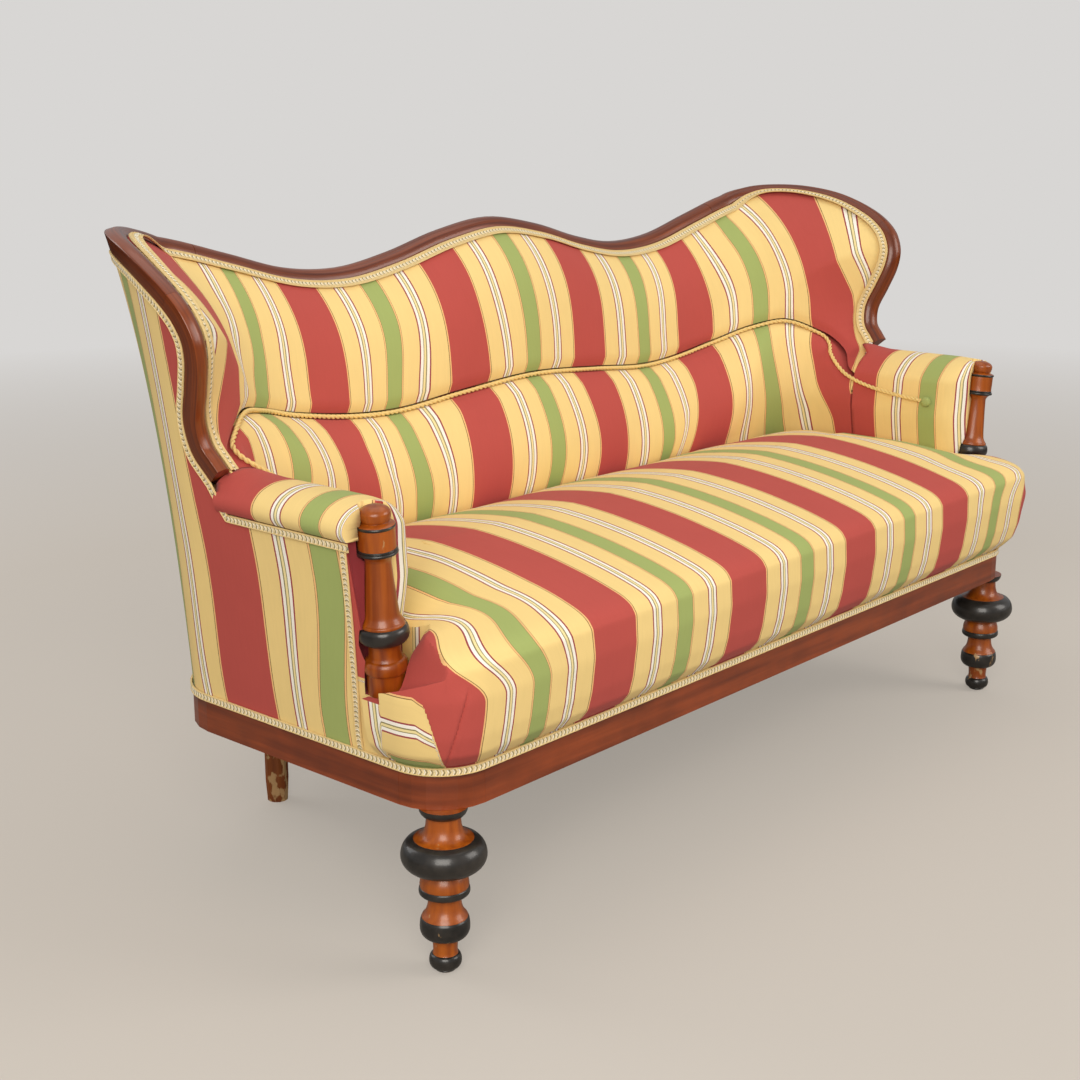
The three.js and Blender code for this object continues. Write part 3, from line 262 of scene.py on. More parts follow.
def soften(mesh: bpy.types.Mesh, crease: float = 40) -> None:
    """Welds a mesh, turns its faces outwards and shades it smooth up to an angle in degrees.

    Args:
        mesh: The mesh.
        crease: The angle past which an edge stays sharp.
    """
    work = bmesh.new()
    work.from_mesh(mesh)
    bmesh.ops.remove_doubles(work, verts=work.verts, dist=0.00002)
    bmesh.ops.dissolve_degenerate(work, edges=work.edges, dist=0.000005)
    bmesh.ops.recalc_face_normals(work, faces=work.faces)
    work.to_mesh(mesh)
    work.free()
    mesh.polygons.foreach_set("use_smooth", np.ones(len(mesh.polygons), bool))
    mesh.set_sharp_from_angle(angle=math.radians(crease))
    mesh.update()


def evaluated(piece: Piece) -> None:
    """Puts a piece's modifiers into its mesh and removes them.

    Args:
        piece: The piece.
    """
    graph = bpy.context.evaluated_depsgraph_get()
    fresh = bpy.data.meshes.new_from_object(piece.evaluated_get(graph), preserve_all_data_layers=True, depsgraph=graph)
    piece.modifiers.clear()
    fresh.name = piece.name
    old, piece.data = piece.data, fresh
    bpy.data.meshes.remove(old)


def cut_out(piece: Piece, cutters: Sequence[Piece]) -> None:
    """Takes the room of some shapes out of a piece, and removes the shapes.

    Args:
        piece: The piece.
        cutters: The shapes.
    """
    for cutter in cutters:
        cut = piece.modifiers.new("room", "BOOLEAN")
        cut.operation, cut.solver, cut.object = "DIFFERENCE", "EXACT", cutter
    evaluated(piece)
    for cutter in cutters:
        bpy.data.objects.remove(cutter)
    soften(piece.data)


def block(low: Sequence[float], high: Sequence[float]) -> Piece:
    """A plain box between two corners in mm, for cutting.

    Args:
        low: One corner.
        high: The corner across from it.

    Returns:
        The box.
    """
    (x0, y0, z0), (x1, y1, z1) = low, high
    ring = np.array([[x0, y0], [x1, y0], [x1, y1], [x0, y1]], float)
    rings = np.stack([np.column_stack([ring, np.full(4, z)]) for z in (z0, z1)])
    maker = MeshMaker()
    maker.tube(rings)
    return maker.build("room", [])


def flipped(piece: Piece, name: str) -> Piece:
    """A mirrored copy of a right-hand piece, for the left.

    Args:
        piece: The right-hand piece.
        name: The copy's name.

    Returns:
        The left-hand piece, with its faces outwards.
    """
    twin = piece.copy()
    twin.data = piece.data.copy()
    twin.name = twin.data.name = name
    work = bmesh.new()
    work.from_mesh(twin.data)
    for vertex in work.verts:
        vertex.co.x = -vertex.co.x
    bmesh.ops.reverse_faces(work, faces=work.faces)
    work.to_mesh(twin.data)
    work.free()
    bpy.context.collection.objects.link(twin)
    return twin


def settle(piece: Piece, slot: str, *nodes: str) -> None:
    """Fixes a finished piece to the sofa and reports it.

    Args:
        piece: The piece.
        slot: Not used.
        nodes: The frame's pieces that it stands for.
    """
    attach(piece, "root")
    if nodes:
        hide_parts(*nodes)
    LOG.info("%s: %d faces", piece.name, len(piece.data.polygons))


def settle_pair(right: Piece, slot: str, node: str | None = None) -> tuple[Piece, Piece]:
    """Fixes a right-hand piece and its mirrored twin.

    Args:
        right: The right-hand piece.
        slot: A finish's name, which is passed on to settle.
        node: The name, without its side, of the frame's pieces that they stand for.

    Returns:
        The right-hand piece and the left-hand one.
    """
    pair = right, flipped(right, right.name.replace("_right", "_left"))
    for piece, side in zip(pair, ("_right", "_left")):
        settle(piece, slot, *([node + side] if node else []))
    return pair


# The outer shell that all the upholstery and the crest follow

@dataclass(frozen=True)
class Shell:
    """The curved outside of the back and sides, by turn, height and depth.

    Turn 0 is the middle of the back, 1 the start of the rounded corner, 2 its end, and past 2 the straight side.
    """

    rail_plan: tuple[float, ...] = (840, 655, 243, 718)
    crest_plan: tuple[float, ...] = (970, 218, 352, 665)
    plan_height: float = 1000
    side_run: float = 500

    def plan(self, height: Array) -> Array:
        """Half width, corner width, corner depth and back of the plan at some heights."""
        share = (np.asarray(height, float) - RAIL_TOP) / (self.plan_height - RAIL_TOP)
        return mix(np.array(self.rail_plan), np.array(self.crest_plan), share[..., None])

    def plan_point(self, turn: Array, plan: Array) -> Array:
        """The point of a plan at some turns.

        Args:
            turn: The turns.
            plan: The plan's four sizes at each.

        Returns:
            The points, as (x, y).
        """
        half, corner_x, corner_y, back = np.moveaxis(plan, -1, 0)
        size = np.abs(turn)
        straight = half - corner_x
        angle = np.clip(size - 1, 0, 1) * math.pi / 2
        x = np.where(size < 1, straight * size, straight + corner_x * np.sin(angle))
        y = back - corner_y * (1 - np.cos(angle)) - np.maximum(size - 2, 0) * self.side_run
        return np.stack([np.sign(turn) * x, y], axis=-1)

    def point(self, turn: Array, height: Array, depth: Array | float = 0) -> Array:
        """The points at some turns, heights and depths below the outside.

        Args:
            turn: The turns.
            height: The heights.
            depth: How deep they lie.

        Returns:
            The points, in mm.
        """
        turn, height, depth = np.broadcast_arrays(*(np.asarray(v, float) for v in (turn, height, depth)))
        plan = self.plan(height)
        outer = self.plan_point(turn, plan)
        inner = self.plan_point(turn, plan - PAD_DATUM)
        return np.concatenate([mix(outer, inner, depth[..., None] / PAD_DATUM), height[..., None]], axis=-1)

    def turn_at_y(self, y: float, height: Array) -> Array:
        """The turn at which the straight side is at one Y."""
        plan = self.plan(np.asarray(height, float))
        return 2 + (plan[..., 3] - plan[..., 2] - y) / self.side_run

    def turn_at_x(self, x: float, height: Array) -> Array:
        """The turn at which the shell reaches one X.

        Args:
            x: The X.
            height: The heights.

        Returns:
            The turns.
        """
        plan = self.plan(np.asarray(height, float))
        straight = plan[..., 0] - plan[..., 1]
        round_part = 1 + np.arcsin(np.clip((x - straight) / plan[..., 1], -1, 1)) / (math.pi / 2)
        return np.where(x < straight, x / straight, round_part)

    def inward(self, turn: Array, height: Array) -> Array:
        """The level way into the sofa."""
        return unit(self.point(turn, height, PAD_DATUM) - self.point(turn, height))

    def normal(self, turn: Array, height: Array) -> Array:
        """The way into the sofa, square to the shell.

        Args:
            turn: The turns.
            height: The heights.

        Returns:
            The way in, of length 1.
        """
        step = 0.01
        across = self.point(turn + step, height) - self.point(turn - step, height)
        upward = self.point(turn, height + 1.5) - self.point(turn, height - 1.5)
        normal = unit(np.cross(across, upward))
        side = np.sum(normal * self.inward(turn, height), axis=-1, keepdims=True)
        return np.where(side < 0, -normal, normal)

    def beside(self, point: Array, guess: Array) -> tuple[Array, Array]:
        """The turn and height of the places on the shell beside some points, at the points' own heights.

        Args:
            point: The points.
            guess: Turns to start from.

        Returns:
            The turns and the heights.
        """
        turn = np.array(guess, float)
        height = point[..., 2]
        for _ in range(12):
            slope = (self.point(turn + 0.01, height) - self.point(turn - 0.01, height)) / 0.02
            gap = np.sum((point - self.point(turn, height)) * slope, axis=-1)
            turn = turn + np.clip(gap / np.sum(slope * slope, axis=-1), -0.3, 0.3)
        return turn, height

    def run(self, turn: Array, height: Array, depth: float) -> Array:
        """The length of cloth from the middle of the back to some turns, at constant height.

        Args:
            turn: The turns; the length has their sign.
            height: The heights.
            depth: How deep below the outside the cloth lies.

        Returns:
            The lengths in mm.
        """
        turn, height = np.broadcast_arrays(np.asarray(turn, float), np.asarray(height, float))
        shares = np.linspace(0, 1, 49)
        line = self.point(turn[..., None] * shares, height[..., None] + 0 * shares, depth)
        return np.sign(turn) * np.linalg.norm(np.diff(line, axis=-2), axis=-1).sum(axis=-1)


SHELL = Shell()


@dataclass(frozen=True)
class CrestLine:
    """The line along the top of the back and down the wings; places run from -1 to 1 between the arms."""

    shares: tuple[tuple[float, float], ...] = (
        (0, .974), (.175, .957), (.361, .9255), (.544, .907), (.712, .916), (.859, .949), (1, .981), (1.17, .995),
        (1.36, 1), (1.54, .997), (1.7, .9835), (1.83, .96), (1.93, .933), (2, .903), (2.045, .867), (2.056, .8325),
        (2.045, .7885), (2.032, .749), (2.05, .719), (2.09, .699), (2.12, .6856))
    joint_x: float = 690
    wing_joint: float = 950
    nudge: float = 0.002

    def at(self, place: Array) -> tuple[Array, Array]:
        """The turn and height of the line at some places.

        Args:
            place: The places.

        Returns:
            The turns and the heights.
        """
        half = np.array(self.shares, float)
        knots = np.concatenate([half[:0:-1] * [-1, 1], half])
        knots = np.concatenate([[2 * knots[0] - knots[1]], knots, [2 * knots[-1] - knots[-2]]])
        along = (np.clip(np.asarray(place, float), -1, 1) + 1) / 2 * (len(knots) - 3)
        i = np.minimum(along.astype(int), len(knots) - 4)
        s = (along - i)[..., None]
        p0, p1, p2, p3 = (knots[i + k] for k in range(4))
        d0, d1, d2 = (np.sqrt(np.linalg.norm(b - a, axis=-1, keepdims=True)) for a, b in ((p0, p1), (p1, p2), (p2, p3)))
        t1 = ((p1 - p0) / d0 - (p2 - p0) / (d0 + d1) + (p2 - p1) / d1) * d1
        t2 = ((p2 - p1) / d1 - (p3 - p1) / (d1 + d2) + (p3 - p2) / d2) * d1
        spot = p1 + t1 * s + (3 * (p2 - p1) - 2 * t1 - t2) * s ** 2 + (2 * (p1 - p2) + t1 + t2) * s ** 3
        return spot[..., 0], spot[..., 1] * CREST_HEIGHT

    def first(self, test: Callable[[float, float, float], bool]) -> float:
        """The first place from the middle where a test of turn, x and z holds.

        Args:
            test: Takes a turn, an x and a z; false near the middle, and true from some place on.

        Returns:
            The place.
        """
        low, high = 0.0, 1.0
        for _ in range(40):
            middle = (low + high) / 2
            turn, height = self.at(np.array(middle))
            x, _, z = SHELL.point(turn, height)
            low, high = (low, middle) if test(float(turn), x, z) else (middle, high)
        return low

    def joints(self) -> tuple[float, float]:
        """The places of the joints in the show wood on the right."""
        return (self.first(lambda turn, x, z: x > self.joint_x),
                self.first(lambda turn, x, z: turn > 1.6 and z < self.wing_joint))

    def inset(self, place: Array, across: float, depth: float = 0) -> tuple[Array, Array]:
        """The turn and height of the line moved inwards, and then straight out to the shell.

        Args:
            place: The places.
            across: How far it moves across.
            depth: How far inwards.

        Returns:
            The turns and the heights.
        """
        origin, across_way, depth_way = path_frame(self.at, place)
        turn, height = self.at(place)
        target = origin + across_way * across + depth_way * depth - SHELL.inward(turn, height) * depth
        return SHELL.beside(target, turn)


def path_frame(path: Path, place: Array) -> tuple[Array, Array, Array]:
    """Axes along a path on the shell.

    Args:
        path: Gives a turn and a height for each place.
        place: The places.

    Returns:
        The points, the way across the path (towards the upholstery or downwards), and the way inwards.
    """
    nudge = CrestLine.nudge
    low, high = (SHELL.point(*path(place + step)) for step in (-nudge, nudge))
    along = unit(high - low)
    turn, height = path(place)
    across = unit(np.cross(along, SHELL.normal(turn, height)))
    return SHELL.point(turn, height), across, unit(np.cross(across, along))


def strip_rings(path: Path, places: Array, section: Array) -> Array:
    """Rings of points of a bar along a path; its section is rows of (across, depth)."""
    origin, across, depth = path_frame(path, places)
    return (origin[:, None] + across[:, None] * section[None, :, :1] + depth[:, None] * section[None, :, 1:])


CREST = CrestLine()
PLACES = np.linspace(-1, 1, 241)


@dataclass(frozen=True)
class Padding:
    """How deep the padding's face lies below the shell, on the back and the arms."""

    start: float = 17
    gap: float = 2
    edge: float = 31.5
    rise: float = 122.5
    reach: float = 88
    bulge: float = 68
    peak: float = 150
    crease_sink: float = 9
    crease_reach: float = 26
    least: float = 24
    rake: float = 0.178
    crease_shares: tuple[tuple[float, float], ...] = (
        (0, .6935), (.375, .682), (.676, .67), (.89, .674), (1.16, .6945), (1.38, .717), (1.62, .7277), (1.87, .6975),
        (2, .666), (2.13, .627), (2.3, .605), (2.56, .5906))
    arm_shares: tuple[tuple[float, float], ...] = (
        (.41, .53), (.45, .58), (.49, .64), (.52, .72), (.56, .82), (.59, .873), (.62, .867), (.66, .827))
    rung_shares: tuple[tuple[float, float], ...] = (
        (0, 0), (.15, .755), (.2, 1), (.25, 1.17), (.3, 1.325), (.4, 1.47), (.5, 1.58), (.6, 1.68), (.7, 1.78),
        (.8, 1.88), (.9, 2))

    def crease(self, turn: Array) -> Array:
        """The height of the crease between the back pads."""
        return soft_table(self.crease_shares, np.abs(turn)) * CREST_HEIGHT

    def arm_depth(self, height: Array) -> Array:
        """The depth of the inside of the arm."""
        return soft_table(self.arm_shares, np.asarray(height, float) / 1000) * PAD_DATUM

    def under_edge(self, turn: Array, height: Array) -> Array:
        """How far some places are from the padding's upper edge.

        Args:
            turn: The turns.
            height: The heights.

        Returns:
            The distances.
        """
        places = np.clip(np.linspace(-1, 1, 121), -1 + CREST.nudge, 1 - CREST.nudge)
        line = SHELL.point(*CREST.inset(places, self.start, self.edge))
        points = SHELL.point(turn, height)
        a, b = line[:-1], line[1:]
        nearest = np.full(points.shape[:-1], np.inf)
        for p, q in zip(a, b):
            way = q - p
            share = np.clip((points - p) @ way / (way @ way), 0, 1)
            nearest = np.minimum(nearest, np.linalg.norm(points - p - share[..., None] * way, axis=-1))
        return nearest

    def free_depth(self, under: Array) -> Array:
        """The depth of a pad that rises from its edge."""
        return self.edge + self.rise * (1 - np.exp(-under / self.reach))

    def upper_depth(self, turn: Array, height: Array) -> Array:
        """The depth of the upper back pad before it sinks into the crease."""
        share = smooth_rise(np.abs(turn), 1.55, 2.08) * (1 - smooth_rise(height, ARM_TRIM, ARM_TOP))
        return mix(self.free_depth(self.under_edge(turn, height)), self.arm_depth(np.minimum(height, ARM_TRIM)), share)

    def sink(self, distance: Array) -> Array:
        """How far the face draws back beside the crease."""
        return self.crease_sink * (1 - smooth_rise(distance, 0, self.crease_reach))

    def upper_face(self, turn: Array, height: Array) -> Array:
        """The depth of the upper back pad's face."""
        return self.upper_depth(turn, height) - self.sink(height - self.crease(turn))

    def lower_face(self, turn: Array, height: Array) -> Array:
        """The depth of the lower back pad's face.

        Args:
            turn: The turns.
            height: The heights.

        Returns:
            The depths.
        """
        drop = np.maximum(self.crease(turn) - height, 0) / self.peak
        swell = self.bulge * np.sin(np.minimum(drop, 1.55) * math.pi / 2) ** 0.85
        free = self.free_depth(self.under_edge(turn, height)) + swell
        depth = mix(free, self.arm_depth(height), smooth_rise(np.abs(turn), 1.4, 2.08))
        return depth - self.sink(self.crease(turn) - height)

    def fill(self, turn: Array, height: Array, face: Array) -> Array:
        """The depth of a pad's back, towards the canvas.

        Args:
            turn: The turns.
            height: The heights.
            face: The depth of the pad's face.

        Returns:
            The depths.
        """
        under = self.under_edge(turn, height)
        least = self.least * smooth_rise(under, 0, 3 * self.least)
        return np.minimum(self.edge + self.rake * under, face - least - 0.3)

    def crease_path(self, turn: Array) -> tuple[Array, Array]:
        """The crease as a path on the shell."""
        return turn, self.crease(turn)

    def crease_place(self, place: Array, offset: float) -> tuple[Array, Array]:
        """The foot of a rung on the crease, or beside it by an offset (upwards when positive).

        Args:
            place: The places.
            offset: How far above the crease they lie, in mm.

        Returns:
            The turns and the heights.
        """
        end = float(SHELL.turn_at_y(ARM_REAR + 0.6, self.crease(np.array(2.13))))
        turn = signed_table([*self.rung_shares, (1, end)], place)
        origin, across, _ = path_frame(self.crease_path, turn)
        turn, height = SHELL.beside(origin - across * offset, turn) if offset else self.crease_path(turn)
        end = SHELL.turn_at_y(ARM_REAR + 0.6, height)
        return np.clip(turn, -end, end), height

    def foot(self, place: Array) -> tuple[Array, Array]:
        """The lower edge of the lower pad.

        Args:
            place: The places.

        Returns:
            The turns and the heights.
        """
        turn, height = self.crease_place(place, 0)
        above = SHELL.point(turn, height)
        above[..., 2] = PAD_FLOOR
        return SHELL.beside(above, turn)

    def cord_centre(self, turn: Array) -> Array:
        """The middle of the twisted cord, which lies in the crease and then on the arm.

        Args:
            turn: The turns.

        Returns:
            The points.
        """
        height = self.crease(turn)
        crease = self.upper_depth(turn, height) - self.crease_sink
        on_arm = self.arm_depth(height) + 4.2
        return SHELL.point(turn, height, mix(crease, on_arm, smooth_rise(np.abs(turn), 1.85, 2.08)) + 5)


PADDING = Padding()


def rungs(low: tuple[Array, Array], high: tuple[Array, Array], rows: int) -> tuple[Array, Array]:
    """Turns and heights of a sheet between two lines on the shell.

    Args:
        low: Turns and heights of the lower line.
        high: Turns and heights of the upper line.
        rows: How many steps there are between them.

    Returns:
        Turns and heights, in rows from the lower line to the upper.
    """
    share = np.linspace(0, 1, rows + 1)[:, None]
    a, b = SHELL.point(*low), SHELL.point(*high)
    points = a[None] + (b - a)[None] * share[..., None]
    return SHELL.beside(points, mix(low[0][None], high[0][None], share))


# Materials

def linear(code: str) -> tuple[float, float, float, float]:
    """The linear colour of an sRGB hex code such as 8a4420."""
    values = (int(code[i:i + 2], 16) / 255 for i in (0, 2, 4))
    return (*(v / 12.92 if v <= 0.04045 else ((v + 0.055) / 1.055) ** 2.4 for v in values), 1.0)


def add_node(tree: Tree, kind: str, inputs: dict | None = None, **settings: object) -> bpy.types.Node:
    """Adds a node with its settings, values and links.

    Args:
        tree: The tree.
        kind: The node's type.
        inputs: Values or sockets by the name or number of the input.
        settings: The node's own properties.

    Returns:
        The node.
    """
    node = tree.nodes.new(kind)
    for name, value in settings.items():
        setattr(node, name, value)
    for key, value in (inputs or {}).items():
        if isinstance(value, Socket):
            tree.links.new(value, node.inputs[key])
        else:
            node.inputs[key].default_value = value
    return node


def maths(tree: Tree, operation: str, *values: Socket | float) -> Socket:
    """The result of a sum on up to three values."""
    return add_node(tree, "ShaderNodeMath", dict(enumerate(values)), operation=operation).outputs[0]


def scaled(tree: Tree, vector: Socket,
           share: Socket | float) -> Socket:
    """A colour or a way times a number."""
    return add_node(tree, "ShaderNodeVectorMath", {0: vector, "Scale": share}, operation="SCALE").outputs[0]


def mapped(tree: Tree, value: Socket, low: float, high: float, to_low: float = 0.0,
           to_high: float = 1.0) -> Socket:
    """A value between low and high, as one between to_low and to_high."""
    return add_node(tree, "ShaderNodeMapRange", {"Value": value, "From Min": low, "From Max": high, "To Min": to_low,
                                                 "To Max": to_high}).outputs[0]


def blended(tree: Tree, share: Socket, *colours: object) -> Socket:
    """A mix of two colours by a share."""
    return add_node(tree, "ShaderNodeMix", {0: share, 6: colours[0], 7: colours[1]}, data_type="RGBA").outputs[2]


class Coordinates(Enum):
    """What a pattern follows."""

    OBJECT = "Object"
    CLOTH = "UV"


@dataclass(frozen=True)
class Finish:
    """What every finish has: a name, a roughness and a specular level."""

    name: str
    roughness: float = 0.6
    specular: float = 0.4

    def begin(self) -> tuple[Material, Tree, bpy.types.Node]:
        """A new material with its tree and its shader.

        Returns:
            The material, its tree and its shader.
        """
        material = bpy.data.materials.new(self.name)
        material.use_nodes = True
        tree = material.node_tree
        shader = tree.nodes["Principled BSDF"]
        shader.inputs["Roughness"].default_value = self.roughness
        shader.inputs["Specular IOR Level"].default_value = self.specular
        return material, tree, shader

    def place(self, tree: Tree, scale: Sequence[float],
              source: Coordinates = Coordinates.OBJECT) -> Socket:
        """A coordinate in cycles: metres times a scale in cycles for each metre."""
        spot = add_node(tree, "ShaderNodeTexCoord").outputs[source.value]
        return add_node(tree, "ShaderNodeMapping", {"Vector": spot, "Scale": scale}).outputs[0]

    def spotted(self, tree: Tree, scale: Sequence[float], detail: float,
                source: Coordinates = Coordinates.OBJECT) -> Socket:
        """A noise from 0 to 1; its scale is in cycles for each metre."""
        place = self.place(tree, scale, source)
        return add_node(tree, "ShaderNodeTexNoise", {"Vector": place, "Scale": 1.0, "Detail": detail}).outputs["Fac"]

    def plain(self, tree: Tree, code: str) -> Socket:
        """One colour.

        Args:
            tree: The tree.
            code: Its sRGB hex code.

        Returns:
            The colour.
        """
        colour = add_node(tree, "ShaderNodeRGB").outputs[0]
        colour.default_value = linear(code)
        return colour

    def ramp(self, tree: Tree, value: Socket, stops: Sequence[tuple[float, str]],
             interpolation: str = "LINEAR") -> Socket:
        """Colours along a value; the stops are (position, hex code).

        Args:
            tree: The tree.
            value: The value.
            stops: The stops, in order.
            interpolation: How the colours are joined.

        Returns:
            The colour.
        """
        node = add_node(tree, "ShaderNodeValToRGB", {"Fac": value})
        node.color_ramp.interpolation = interpolation
        for i, (position, code) in enumerate(stops):
            stop = node.color_ramp.elements[i] if i < 2 else node.color_ramp.elements.new(position)
            stop.position, stop.color = position, linear(code)
        return node.outputs["Color"]

    def shade(self, tree: Tree, colour: Socket, value: Socket,
              low: float, high: float) -> Socket:
        """A colour darkened or lightened by a value from 0 to 1, between two shares."""
        share = mapped(tree, value, 0, 1, low, high)
        return scaled(tree, colour, share)

    def bump(self, tree: Tree, shader: bpy.types.Node, height: Socket, depth: float,
             strength: float = 1) -> None:
        """A relief of some depth in metres."""
        node = add_node(tree, "ShaderNodeBump", {"Height": height, "Distance": depth, "Strength": strength})
        tree.links.new(node.outputs["Normal"], shader.inputs["Normal"])


@dataclass(frozen=True)
class Cloth(Finish):
    """Woven cotton rep: matt, with a soft sheen along the threads.

    The real threads are 0.4 mm apart; they are drawn 1.8 mm apart, so that the weave still shows in the render.
    """

    code: str = "8e2f33"
    thread: float = 0.0018
    coordinates: Coordinates = Coordinates.CLOTH
    sheen: float = 0.05
    roughness: float = 0.88
    specular: float = 0.12
    stripe: bool = False
    repeat: float = 0.342

    def stripes(self, tree: Tree) -> Socket:
        """The striped pattern: green, yellow and red bands with fine lines between them, mirrored in each repeat.

        Args:
            tree: The tree.

        Returns:
            The colour.
        """
        spot = add_node(tree, "ShaderNodeTexCoord").outputs["UV"]
        across = add_node(tree, "ShaderNodeSeparateXYZ", {0: spot}).outputs[0]
        half = self.repeat / 2
        folded = maths(tree, "PINGPONG", across, half)
        share = maths(tree, "MULTIPLY", folded, 1 / half)
        yellow, maroon, white, olive, peach = "efd08a", "9c454a", "f6efe2", "8a8056", "eebd80"
        bands = ((0, "a2ae68"), (17.6, "6b5a34"), (18.5, peach), (21.0, "8a5232"), (21.9, yellow), (58.5, maroon),
                 (60.8, white), (66.3, olive), (68.1, "efdca0"), (71.9, olive), (73.7, white), (79.2, maroon),
                 (81.5, yellow), (118.6, "7d6038"), (119.6, peach), (122.4, "b9524a"))
        return self.ramp(tree, share, [(place / half / 1000, code) for place, code in bands], "CONSTANT")

    def build(self) -> Material:
        """The material.

        Returns:
            The material.
        """
        material, tree, shader = self.begin()
        colour = self.stripes(tree) if self.stripe else self.plain(tree, self.code)
        cloud = self.spotted(tree, (9, 9, 9), 3)
        colour = self.shade(tree, colour, cloud, 0.96, 1.04)
        slub = self.spotted(tree, (1 / 0.004, 1 / 0.05, 1 / 0.004), 2, self.coordinates)
        colour = self.shade(tree, colour, slub, 0.965, 1.035)
        tree.links.new(colour, shader.inputs["Base Color"])
        place = self.place(tree, (math.tau / self.thread,) * 3, self.coordinates)
        axes = add_node(tree, "ShaderNodeSeparateXYZ", {0: place}).outputs
        waves = [maths(tree, "SINE", axis) for axis in axes[:2]]
        weave = maths(tree, "MULTIPLY", waves[0], waves[1])
        soft = self.spotted(tree, (14, 14, 14), 2)
        both = maths(tree, "MULTIPLY_ADD", soft, 12.0, weave)
        self.bump(tree, shader, both, 0.00008, 0.6)
        shader.inputs["Sheen Weight"].default_value = self.sheen
        shader.inputs["Sheen Roughness"].default_value = 0.4
        return material


@dataclass(frozen=True)
class Wood(Finish):
    """Wood with its grain: long streaks with darker pores, under oil or polish."""

    light: str = "a8501c"
    dark: str = "6a2a10"
    grain: tuple[float, float, float] = (120, 120, 6)
    coordinates: Coordinates = Coordinates.OBJECT
    polish: float = 0.6
    wear: float = 0.12
    foot: float = 0.0
    roughness: float = 0.32
    specular: float = 0.4

    def scuffed(self, tree: Tree, colour: Socket,
                worn: Socket) -> Socket:
        """The colour with its polish knocked off down to pale wood, near the floor most.

        Args:
            tree: The tree.
            colour: The polished colour.
            worn: A noise, high where the wood is worn.

        Returns:
            The colour.
        """
        spot = add_node(tree, "ShaderNodeTexCoord").outputs["Object"]
        height = add_node(tree, "ShaderNodeSeparateXYZ", {0: spot}).outputs[2]
        chips = self.spotted(tree, (85, 85, 40), 5)
        both = maths(tree, "ADD", chips, worn)
        reach = mapped(tree, height, 0.0, 0.17, self.foot, 0.0)
        level = maths(tree, "ADD", both, reach)
        share = mapped(tree, level, 1.34, 1.42)
        return blended(tree, share, colour, linear("b08a5c"))

    def build(self) -> Material:
        """The material.

        Returns:
            The material.
        """
        material, tree, shader = self.begin()
        streaks = self.spotted(tree, self.grain, 6, self.coordinates)
        broad = self.spotted(tree, [g / 7 for g in self.grain], 3, self.coordinates)
        both = maths(tree, "ADD", streaks, broad)
        half = mapped(tree, both, 0.7, 1.3)
        colour = self.ramp(tree, half, [(0.0, self.dark), (1.0, self.light)])
        worn = self.spotted(tree, (26, 26, 26), 5)
        colour = self.shade(tree, colour, worn, 1 - self.wear, 1 + self.wear)
        if self.foot:
            colour = self.scuffed(tree, colour, worn)
        tree.links.new(colour, shader.inputs["Base Color"])
        rough = mapped(tree, worn, 0, 1, self.roughness - 0.1, self.roughness + 0.14)
        tree.links.new(rough, shader.inputs["Roughness"])
        shader.inputs["Coat Weight"].default_value = self.polish
        shader.inputs["Coat Roughness"].default_value = 0.16
        self.bump(tree, shader, streaks, 0.00015, 0.5)
        return material


@dataclass(frozen=True)
class Yarn(Finish):
    """Twisted cotton and silk yarn, as in gimp and cord: fine slanted plies with a dull shine."""

    code: str = "e3cf96"
    ply: float = 0.0016
    roughness: float = 0.7
    specular: float = 0.3

    def build(self) -> Material:
        """The material.

        Returns:
            The material.
        """
        material, tree, shader = self.begin()
        axes = add_node(tree, "ShaderNodeSeparateXYZ", {
            0: self.place(tree, (math.tau / self.ply,) * 3)}).outputs
        slant = maths(tree, "ADD", axes[0], axes[2])
        slant = maths(tree, "ADD", slant, axes[1])
        ply = maths(tree, "SINE", slant)
        noise = self.spotted(tree, (300, 300, 300), 2)
        tree.links.new(self.shade(tree, self.plain(tree, self.code), noise, 0.8, 1.15), shader.inputs["Base Color"])
        self.bump(tree, shader, ply, 0.0002, 0.6)
        return material


@dataclass(frozen=True)
class SpringSteel(Finish):
    """Drawn steel wire, dull with a brown bloom of old rust."""

    code: str = "8d8881"
    roughness: float = 0.45

    def build(self) -> Material:
        """The material.

        Returns:
            The material.
        """
        material, tree, shader = self.begin()
        noise = self.spotted(tree, (90, 90, 90), 4)
        colour = self.ramp(tree, noise, [(0.35, "6e5240"), (0.6, self.code)])
        tree.links.new(colour, shader.inputs["Base Color"])
        shader.inputs["Metallic"].default_value = 0.9
        self.bump(tree, shader, noise, 0.0002, 0.4)
        return material


